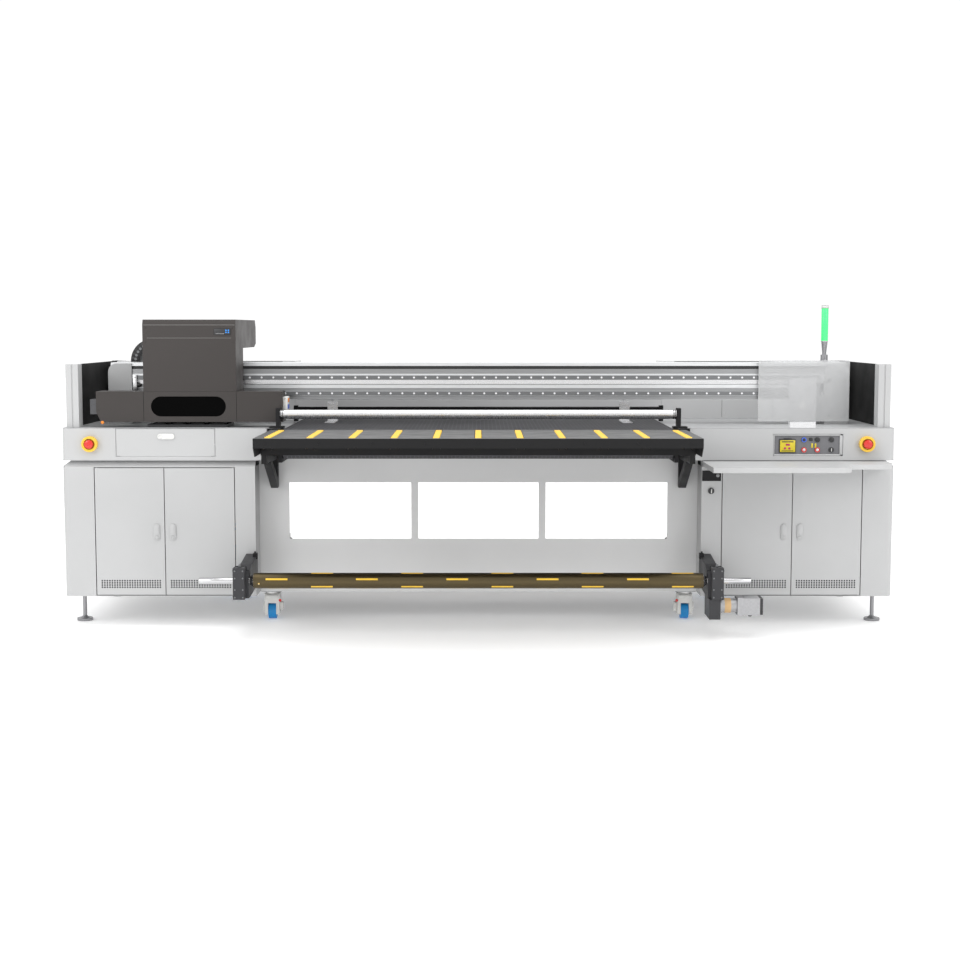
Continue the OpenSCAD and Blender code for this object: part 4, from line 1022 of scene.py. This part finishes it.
class PRINTER_OT_brackets(bpy.types.Operator):
    """Keeper plates, knobs and screws of the roll brackets"""

    bl_idname = "printer.brackets"
    bl_label = "Roll bracket fittings"

    def execute(self, context):
        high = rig.box("roll_brackets")[1]
        out_x = high.x
        bm = bmesh.new()
        for front, node in ((1, "feed_shaft"), (-1, "takeup_shaft")):
            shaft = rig.box(node)
            y, z = (shaft[0].y + shaft[1].y) / 2, (shaft[0].z + shaft[1].z) / 2
            # latch over the journal
            slab(bm, (out_x - 0.052, y - 0.030, z + 0.052), (out_x - 0.006, y + 0.030, z + 0.066), 0.002)
            turned(bm, (out_x - 0.029, y - 0.024, z + 0.066), (out_x - 0.029, y - 0.024, z + 0.082), 0.006,
                   index=1, edge=0.001)
            for dy, dz in ((-0.050, 0.055), (-0.050, -0.070), (0.008, -0.070)):
                screw_head(bm, (out_x, y + dy * -front if front > 0 else y + dy, z + dz), X, 0.005, index=1)
            face = y + front * 0.062
            for dz in (0.055, 0.020, -0.035, -0.072):
                for x in (out_x - 0.048, out_x - 0.010):
                    screw_head(bm, (x, face, z + dz), (0, front, 0), 0.0038, index=1)
        mirrored(bm)
        piece("bracket_fittings", bm, "bracket rail", "machine")

        # sensor box and rubber pads against the cabinets
        bm = bmesh.new()
        x = high.x - 0.064
        slab(bm, (x - 0.012, FRONT - 0.062, z + 0.068), (x + 0.010, FRONT - 0.028, z + 0.098), 0.003)
        turned(bm, (x, FRONT - 0.045, z + 0.098), (x, FRONT - 0.045, z + 0.106), 0.005, index=1, edge=0.001)
        mirrored(bm)
        piece("bracket_sensors", bm, "black dark", "machine")
        return {"FINISHED"}


class PRINTER_OT_motors(bpy.types.Operator):
    """Fins, bands, flanges, end caps and cable glands of the gear motors"""

    bl_idname = "printer.motors"
    bl_label = "Gear motor details"

    def dress(self, bm, x, y, z, half):
        """Details of one motor whose mounting face is at x."""
        ring(bm, (x + 0.040, y, z), X, half * 0.8 + 0.0012, half * 0.8 - 0.002, 0.030, index=1, sides=40)
        for side in (-1, 1):
            for up in (-1, 1):
                screw_head(bm, (x + 0.084, y + side * half * 0.78, z + up * half * 0.78), (-1, 0, 0), 0.0045,
                           index=3)
        count = sizes().fins
        for i in range(count):
            across = (i - (count - 1) / 2) * (2 * half - 0.018) / count
            for up in (-1, 1):
                a, b = z + up * (half - 0.0035), z + up * (half + 0.0005)
                slab(bm, (x + 0.118, y + across - 0.0022, min(a, b)),
                     (x + 0.188, y + across + 0.0022, max(a, b)), 0.0008)
        slab(bm, (x + 0.190, y - half + 0.002, z - half + 0.002),
             (x + 0.2065, y + half - 0.002, z + half - 0.002),
             0.004, index=2)
        turned(bm, (x + 0.150, y, z - half + 0.004), (x + 0.150, y, z - half - 0.010), 0.009, index=2,
               edge=0.001)
        turned(bm, (x + 0.2065, y, z), (x + 0.2085, y, z), 0.020, index=0, edge=0.0006)

    def execute(self, context):
        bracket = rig.box("roll_brackets")
        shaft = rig.box("takeup_shaft")
        z = (shaft[0].z + shaft[1].z) / 2
        bm = bmesh.new()
        self.dress(bm, bracket[1].x - 0.013, (shaft[0].y + shaft[1].y) / 2 + 0.008, z - 0.121, MOTOR_HALF)
        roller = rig.box("drive_roller")
        centre = (roller[0] + roller[1]) / 2
        self.dress(bm, 1.068, centre.y, centre.z, MOTOR_HALF)
        piece("motor_fittings", bm, "motor tan dark rail", "machine")
        return {"FINISHED"}


class PRINTER_OT_controls(bpy.types.Operator):
    """Operator panel, meter, pilot lights, emergency stops, main switch and signal lamp"""

    bl_idname = "printer.controls"
    bl_label = "Controls"

    def execute(self, context):
        low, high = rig.box("control_panel")
        x0, x1 = high.x / MM - 12 - 345, high.x / MM - 12
        z1 = high.z / MM - 8
        z0 = z1 - 109
        bm = bmesh.new()
        # bevelled surround of the recess
        for a, b, c, d in ((x0, x0 + 7, z0, z1), (x1 - 16, x1, z0, z1), (x0, x1, z1 - 9, z1),
                           (x0, x1, z0, z0 + 9)):
            bar(bm, a, b, 3, 11, c, d, edge=2.5)
        piece("panel_surround", bm, "body", "machine")

        bm = bmesh.new()
        bar(bm, x0 + 5, x1 - 14, 11, 12.5, z0 + 8, z1 - 8, index=0)
        # meter: black case, yellow face, keys and readout
        m0, n0 = x0 + 30, z0 + 16
        bar(bm, m0, m0 + 83, 1, 11, n0, n0 + 68, edge=3, index=1)
        bar(bm, m0 + 22, m0 + 62, -0.5, 2, n0 + 66, n0 + 72, edge=1, index=1)
        bar(bm, m0 + 4, m0 + 79, 0, 1.5, n0 + 4, n0 + 62, edge=1, index=2)
        bar(bm, m0 + 12, m0 + 70, -0.6, 0.5, n0 + 52, n0 + 57, edge=0.2, index=1)
        bar(bm, m0 + 32, m0 + 52, -0.9, 0.5, n0 + 36, n0 + 45, edge=2, index=3)
        for dx, dz in ((28, 22), (50, 22)):
            spot = at(m0 + dx, 0, n0 + dz)
            turned(bm, spot, spot + Vector((0, -0.0016, 0)), 0.0058, index=3, sides=20, edge=0.0005)
        bar(bm, m0 + 12, m0 + 70, -0.6, 0.5, n0 + 8, n0 + 11, edge=0.2, index=1)
        for x in (x0 + 190, x0 + 207):
            bar(bm, x, x + 8, 8, 11, z0 + 40, z0 + 62, edge=1, index=2)
        piece("panel_meter", bm,
              "gloss dark meter magenta", "machine")

        # coloured rings and domes of the pilot lights and buttons
        z = z0 + 30
        xs = (x0 + 153, x0 + 219, x0 + 289)
        bm = bmesh.new()
        for x, up, finish in ((xs[0], 50, 1), (xs[1], 50, 2), (xs[2], 50, 2), (xs[2], 0, 2)):
            ring(bm, at(x, 4, z + up), Y, 0.0125, 0.0075, 0.004, index=finish, sides=32)
            spot = at(x, 5, z + up)
            turned(bm, spot, spot + Vector((0, -0.003, 0)), 0.0075, index=2, sides=28, edge=0.001)
        bar(bm, xs[0] + 26, xs[0] + 44, 6, 11, z + 44, z + 60, edge=2, index=2)
        bar(bm, xs[2] - 1.5, xs[2] + 1.5, 0.5, 3, z - 8, z + 8, edge=0.8, index=3)
        piece("pilot_lights", bm, "steel blue dark white", "machine")
        for name, x in (("start_button", xs[0]), ("stop_button", xs[1])):
            bm = bmesh.new()
            ring(bm, at(x, 2.5, z), Y, 0.0125, 0.0075, 0.004, sides=32)
            spot = at(x, 2.9, z)
            turned(bm, spot, spot + Vector((0, -0.0022, 0)), 0.0072, index=1, sides=28, edge=0.0008)
            piece(name + "_cap", bm, "red steel", name)

        for side in ("left", "right"):
            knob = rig.box(side + "_estop")
            centre = (knob[0] + knob[1]) / 2
            face = knob[0].y
            bm = bmesh.new()
            turned(bm, (centre.x, face + 0.012, centre.z), (centre.x, face - 0.0015, centre.z), 0.0215,
                   edge=0.0055, sides=48)
            piece(side + "_estop_dome", bm, "red", side + "_estop")
            bm = bmesh.new()
            ring(bm, (centre.x, FRONT - 0.013, centre.z), Y, 0.0385, 0.0275, 0.0262, sides=56)
            piece(side + "_estop_guard", bm, "key", "machine")

        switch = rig.box("main_switch")
        centre = (switch[0] + switch[1]) / 2
        bm = bmesh.new()
        slab(bm, (centre.x - 0.0022, switch[0].y - 0.0012, centre.z - 0.0105),
             (centre.x + 0.0022, switch[0].y + 0.004, centre.z + 0.0105), 0.001)
        piece("main_switch_mark", bm, "white", "main_switch")
        bm = bmesh.new()
        screw_head(bm, at(low.x / MM + 77, -2, low.z / MM + 28), (0, -1, 0), 0.009)
        screw_head(bm, at(low.x / MM + 77, -4, low.z / MM + 28), (0, -1, 0), 0.006)
        piece("label_plate_screw", bm, "rail", "machine")

        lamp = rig.box("signal_lamp")
        axis = Vector(((lamp[0].x + lamp[1].x) / 2, (lamp[0].y + lamp[1].y) / 2, 0))
        bottom, top = lamp[1].z - 0.180, lamp[1].z
        bm = bmesh.new()
        turned(bm, axis + Z * bottom, axis + Z * (top - 0.015), 0.0178, edge=0.001, sides=40)
        for k in range(1, 8):
            ring(bm, axis + Z * (bottom + k * 0.0205), Z, 0.0181, 0.017, 0.001, sides=40)
        piece("signal_lens", bm, "lamp", "machine")
        bm = bmesh.new()
        turned(bm, axis + Z * (top - 0.015), axis + Z * (top + 0.001), 0.0187, edge=0.005, index=0, sides=40)
        ring(bm, axis + Z * (bottom - 0.002), Z, 0.0186, 0.015, 0.004, index=1, sides=40)
        for k in range(3):
            turn = Matrix.Rotation(math.radians(30 + 120 * k), 3, "Z")
            screw_head(bm, axis + Z * (lamp[0].z + 0.012) + turn @ Vector((0.0185, 0, 0)), turn @ X, 0.003,
                       index=1)
        piece("signal_cap", bm, "white chrome", "machine")
        return {"FINISHED"}


class PRINTER_OT_doors(bpy.types.Operator):
    """Pulls, air-hole backings and gaskets of the doors and the flap"""

    bl_idname = "printer.doors"
    bl_label = "Door fittings"

    def execute(self, context):
        for side, sign in (("left", -1), ("right", 1)):
            for which in ("outer", "inner"):
                node = f"{side}_{which}_door"
                low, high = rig.box(node)
                inner = min(abs(low.x), abs(high.x))
                outer = max(abs(low.x), abs(high.x))
                pull = sign * (outer - 0.038 if which == "inner" else inner + 0.038)
                z = 0.477
                bm = bmesh.new()
                face = FRONT - 0.005
                oblong_plate(bm, (pull, face + 0.0006, z), 0.030, 0.083, 0.0014, edge=0.0005)
                oblong_plate(bm, (pull, face - 0.0006, z + 0.012), 0.022, 0.050, 0.002, index=0, edge=0.0009)
                ring(bm, (pull, face - 0.0015, z - 0.026), Y, 0.0105, 0.0085, 0.003, index=1, sides=32)
                turned(bm, (pull, face, z - 0.026), (pull, face - 0.003, z - 0.026), 0.0078, index=1,
                       edge=0.001)
                piece(node + "_latch", bm, "body body", node)

                bm = bmesh.new()
                middle = (inner + outer) / 2 * sign
                slab(bm, (middle - 0.158, FRONT + 0.0034, 0.192), (middle + 0.158, FRONT + 0.005, 0.243),
                     0.0005)
                for x in (-0.160, 0.160):
                    turned(bm, (middle + x, FRONT + 0.0032, 0.2175), (middle + x, FRONT + 0.008, 0.2175),
                           0.003,
                           index=1, sides=12)
                piece(node + "_mesh", bm, "black steel", node)

                bm = bmesh.new()
                for a, b in ((inner + 0.016, inner + 0.022), (outer - 0.022, outer - 0.016)):
                    lo_x, hi_x = sorted((a * sign, b * sign))
                    slab(bm, (lo_x, FRONT + 0.0035, low.z + 0.012), (hi_x, FRONT + 0.013, high.z - 0.012),
                         0.002)
                piece(node + "_gasket", bm, "chain", node)

        low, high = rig.box("flap")
        centre = (low + high) / 2
        bm = bmesh.new()
        oblong_plate(bm, (centre.x + 0.004, FRONT - 0.0044, DECK - 0.042), 0.084, 0.028, 0.0014, edge=0.0006)
        ring(bm, (centre.x - 0.022, FRONT - 0.006, DECK - 0.042), Y, 0.0105, 0.0085, 0.003, index=1, sides=32)
        oblong_plate(bm, (centre.x + 0.016, FRONT - 0.0056, DECK - 0.042), 0.048, 0.019, 0.0018, edge=0.0008)
        piece("flap_latch", bm, "white steel", "flap")
        return {"FINISHED"}


class PRINTER_OT_tables(bpy.types.Operator):
    """Screws and wheel hubs of the tables and their brackets, knobs of the edge guides and rings of the guide roller"""

    bl_idname = "printer.tables"
    bl_label = "Table fittings"

    def execute(self, context):
        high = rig.box("tables")[1]
        bm = bmesh.new()
        for front in (-1, 1):
            edge_y = front * high.y
            for i in range(9):
                x = (i - 4) * 0.238
                screw_head(bm, (x, edge_y, DECK - 0.022), (0, front, 0), 0.0045)
            for k in range(4):
                y = front * (high.y - 0.06 - 0.15 * k)
                for side in (-1, 1):
                    screw_head(bm, (side * TABLE_SIDE, y, DECK - 0.022), (side, 0, 0), 0.0045)
        piece("table_screws", bm, "black", "machine")

        # hubs of the wheels
        bm = bmesh.new()
        step = (622 - 75) / 9
        for front in (-1, 1):
            for i in range(11):
                x = (i - 5) * WHEEL_PITCH
                for j in range(9):
                    y = -149.3 - 622 + 41 + (j + 0.5) * step
                    spot = at(x, y, 973)
                    if front > 0:
                        spot.y = -spot.y
                    ring(bm, spot, X, 0.0115, 0.005, 0.0288, sides=12)
        piece("wheel_hubs", bm, "dark", "machine")

        bm = bmesh.new()
        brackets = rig.box("table_brackets")
        for front in (-1, 1):
            for side in (-1, 1):
                for dz in (0.045, 0.090, 0.140):
                    spot = Vector((side * (brackets[1].x), front * 0.440, brackets[1].z - dz))
                    turned(bm, spot, spot + X * side * 0.004, 0.007, index=0, sides=6)
                    ring(bm, spot + X * side * 0.0008, X, 0.0095, 0.0072, 0.0016, sides=20)
        piece("gusset_bolts", bm, "rail", "machine")

        # thumb screws on the edge guides and end rings of the guide roller
        for side in ("left", "right"):
            node = side + "_media_guide"
            lo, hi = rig.box(node)
            bm = bmesh.new()
            centre = Vector(((lo.x + hi.x) / 2, FRONT + 0.600, hi.z))
            turned(bm, centre - Z * 0.002, centre + Z * 0.014, 0.004, index=1, sides=16)
            turned(bm, centre + Z * 0.012, centre + Z * 0.026, 0.011, 0.0125, index=0, sides=18, edge=0.002)
            for x in (lo.x + 0.010, hi.x - 0.010):
                screw_head(bm, (x, FRONT + 0.585, centre.z - 0.012), (0, -1, 0), 0.003, index=1)
                screw_head(bm, (x, FRONT + 0.585, centre.z - 0.060), (0, -1, 0), 0.003, index=1)
            piece(node + "_knob", bm, "dark steel", node)
        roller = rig.box("guide_roller")
        centre = (roller[0] + roller[1]) / 2
        bm = bmesh.new()
        for sign in (-1, 1):
            for off in (0.004, 0.0125):
                ring(bm, (sign * (roller[1].x - 0.022 - off), centre.y, centre.z), X, 0.0234, 0.021, 0.0045,
                     sides=40)
            turned(bm, (sign * roller[1].x, centre.y, centre.z),
                   (sign * (roller[1].x + 0.001), centre.y, centre.z),
                   0.008, index=1, sides=6)
        piece("guide_roller_rings", bm, "chain steel", "guide_roller")
        return {"FINISHED"}


class PRINTER_OT_body_details(bpy.types.Operator):
    """Caster pedals and hubs, ink labels, hood trims, capping pads and electrical box fittings"""

    bl_idname = "printer.body_details"
    bl_label = "Body details"

    def execute(self, context):
        for side, sign in (("left", -1), ("right", 1)):
            node = side + "_caster_fork"
            low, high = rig.box(node)
            centre = (low + high) / 2
            bm = bmesh.new()
            for end, drop in ((-1, 0.0), (1, 0.010)):
                edge_x = low.x if end < 0 else high.x
                a, b = sorted((edge_x, edge_x + end * (0.017 if end * sign < 0 else 0.009)))
                slab(bm, (a, centre.y - 0.026, 0.040 + drop), (b, centre.y + 0.016, 0.088), 0.004)
            slab(bm, (low.x + 0.006, low.y - 0.010, high.z - 0.034),
                 (high.x - 0.006, low.y + 0.004, high.z - 0.018), 0.004)
            piece(side + "_caster_pedal", bm, "white", node)
            bm = bmesh.new()
            spot = Vector((low.x - 0.004 if sign > 0 else high.x + 0.004, low.y + 0.004, 0.100))
            turned(bm, spot, spot + Vector((0, -0.008, 0)), 0.0075, edge=0.002, sides=20)
            ring(bm, (centre.x, centre.y - 0.006, high.z - 0.005), Z, 0.031, 0.028, 0.004, index=1, sides=32)
            piece(side + "_caster_lock", bm, "red steel", node)
            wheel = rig.box(side + "_caster_wheel")
            hub = (wheel[0] + wheel[1]) / 2
            bm = bmesh.new()
            for end in (-1, 1):
                ring(bm, (hub.x + end * 0.0185, hub.y, hub.z), X, 0.0402, 0.034, 0.002, sides=40)
                turned(bm, (hub.x + end * 0.036, hub.y, hub.z), (hub.x + end * 0.0405, hub.y, hub.z), 0.0075,
                       index=1, sides=6)
            for k in range(5):
                ring(bm, (hub.x + (k - 2) * 0.007, hub.y, hub.z), X, 0.0403, 0.0385, 0.0012, sides=48)
            piece(side + "_caster_tread", bm, "caster steel", side + "_caster_wheel")

        # caps and labels of the ink containers
        low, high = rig.box("ink_tanks")
        inks = ("cyan", "magenta", "yellow", "black", "white")
        bm = bmesh.new()
        for i in range(5):
            x = high.x - 0.044 - i * 0.108
            for row in (0, 1):
                y = low.y + row * 0.190
                slab(bm, (x - 0.032, y - 0.0012, 0.300), (x + 0.032, y + 0.001, 0.380), 0.0006, index=i)
                ring(bm, (x, y + 0.080, 0.452), Z, 0.0245, 0.018, 0.014, index=i)
                turned(bm, (x, y + 0.080, 0.455), (x, y + 0.080, 0.475), 0.005, index=5, sides=12)
        piece("ink_labels", bm, " ".join(n + "_ink" for n in inks) + " steel", "machine")

        # black trim along the hood, its seams and screws
        bm = bmesh.new()
        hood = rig.box("rear_housing")
        hood_y = (hood[0].y - FRONT) / MM
        deck, top = DECK / MM, hood[1].z / MM
        for x0, x1 in ((1068, 1611), (-1611, -1068)):
            bar(bm, x0, x1, hood_y - 1.6, hood_y + 0.5, top - 12, top - 1, edge=0.5, index=0)
        for x in (-1606, -1330, 1330, 1606):
            bar(bm, x - 0.8, x + 0.8, hood_y - 0.4, hood_y + 0.5, deck + 8, top - 40, index=0)
            for z in (deck + 30, top - 60):
                screw_head(bm, at(x + 14, hood_y, z), (0, -1, 0), 0.004, index=1)
        piece("hood_trims", bm, "black steel", "machine")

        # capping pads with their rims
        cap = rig.box("capping_station")
        bm = bmesh.new()
        for i in range(4):
            x = cap[0].x + 0.055 + i * 0.095
            y0, y1 = FRONT + 0.092, FRONT + 0.238
            ring_z = cap[1].z
            for a, b, c, d in ((-0.028, -0.024, y0, y1), (0.024, 0.028, y0, y1),
                               (-0.028, 0.028, y0, y0 + 0.004), (-0.028, 0.028, y1 - 0.004, y1)):
                slab(bm, (x + a, c, ring_z - 0.002), (x + b, d, ring_z + 0.003), 0.0012)
            slab(bm, (x - 0.022, y0 + 0.006, ring_z - 0.001), (x + 0.022, y1 - 0.006, ring_z + 0.0008),
                 0.0006, index=1)
        piece("capping_pads", bm, "chain white", "machine")

        # fan guard, gland plate and cable glands of the electrical box
        box_low, box_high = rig.box("control_box")
        bm = bmesh.new()
        face = box_high.y - 0.180
        for k in range(5):
            ring(bm, (box_low.x + 0.09, face - 0.0015, box_high.z - 0.08), Y, 0.012 + k * 0.011,
                 0.0102 + k * 0.011,
                 0.002, index=1, sides=32)
        slab(bm, (box_low.x + 0.18, face - 0.003, box_high.z - 0.38),
             (box_high.x - 0.03, face + 0.001, box_high.z - 0.05),
             0.002, index=2)
        for k in range(6):
            turned(bm, (box_low.x + 0.06 + k * 0.05, face + 0.05, box_high.z),
                   (box_low.x + 0.06 + k * 0.05, face + 0.05, box_high.z + 0.012),
                   0.010, index=0, sides=16, edge=0.001)
        piece("control_box_fittings", bm, "dark steel white", "machine")
        return {"FINISHED"}


class PRINTER_OT_stage(bpy.types.Operator):
    """Floor, backdrop, soft lights and camera"""

    bl_idname = "printer.stage"
    bl_label = "Studio stage"

    def execute(self, context):
        FINISH["stage"] = moulded("stage_paper", (0.96, 0.96, 0.96), rough=0.8, grain=0.05,
                        Emission_Color=(1, 1, 1, 1), Emission_Strength=0.2)
        bm = bmesh.new()
        bmesh.ops.create_grid(bm, x_segments=2, y_segments=2, size=40)
        stage = piece("stage_floor", bm, "stage", None)
        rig.stage(stage)
        world = bpy.data.worlds.new("studio")
        world.use_nodes = True
        sky = world.node_tree.nodes["Background"]
        sky.inputs["Color"].default_value = (1.0, 1.0, 1.0, 1)
        sky.inputs["Strength"].default_value = 1.05
        context.scene.world = world
        for name, place, size, power in (
            ("softbox_top", (0, -1.5, 6.0), 5.0, 160),
            ("softbox_left", (-5.0, -5.0, 3.5), 3.0, 110),
            ("softbox_right", (5.0, -5.0, 3.5), 3.0, 90),
        ):
            lamp = bpy.data.lights.new(name, "AREA")
            lamp.size = size
            lamp.energy = power
            light = bpy.data.objects.new(name, lamp)
            light.location = place
            aim = Vector((0, 0, 0.9)) - Vector(place)
            light.rotation_euler = aim.to_track_quat("-Z", "Y").to_euler()
            context.scene.collection.objects.link(light)
        lens = bpy.data.cameras.new("camera")
        lens.lens = 60
        lens.sensor_width = 36
        camera = bpy.data.objects.new("camera", lens)
        camera.location = (0.008, -8.458, 1.484)
        camera.rotation_euler = Euler((math.radians(90 - 5.41), 0, 0))
        context.scene.collection.objects.link(camera)
        context.scene.camera = camera
        context.scene.view_settings.view_transform = "Standard"
        return {"FINISHED"}


OPERATORS = [
    cls for cls in list(globals().values())
    if isinstance(cls, type) and issubclass(cls, bpy.types.Operator) and cls is not bpy.types.Operator
]


class PRINTER_PT_parts(bpy.types.Panel):
    """Lists the printer's operators and their settings"""

    bl_label = "Printer"
    bl_space_type = "VIEW_3D"
    bl_region_type = "UI"
    bl_category = "Printer"

    def draw(self, context):
        column = self.layout.column()
        for group in (context.scene.printer_colours, context.scene.printer_sizes):
            for key in group.__annotations__:
                column.prop(group, key)
        for cls in OPERATORS:
            column.operator(cls.bl_idname)


CLASSES = [PrinterColours, PrinterSizes, *OPERATORS, PRINTER_PT_parts]


def register():
    for cls in CLASSES:
        bpy.utils.register_class(cls)
    bpy.types.Scene.printer_colours = bpy.props.PointerProperty(type=PrinterColours)
    bpy.types.Scene.printer_sizes = bpy.props.PointerProperty(type=PrinterSizes)


def unregister():
    del bpy.types.Scene.printer_sizes
    del bpy.types.Scene.printer_colours
    for cls in reversed(CLASSES):
        bpy.utils.unregister_class(cls)


def main():
    register()
    for cls in OPERATORS:
        group, name = cls.bl_idname.split(".")
        getattr(getattr(bpy.ops, group), name)()
    with open(SIZE_FILE, "w") as out:
        json.dump({"cad": CAD_BOX, "visual": [list(c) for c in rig.bounds()]}, out)


if __name__ == "__main__":
    main()
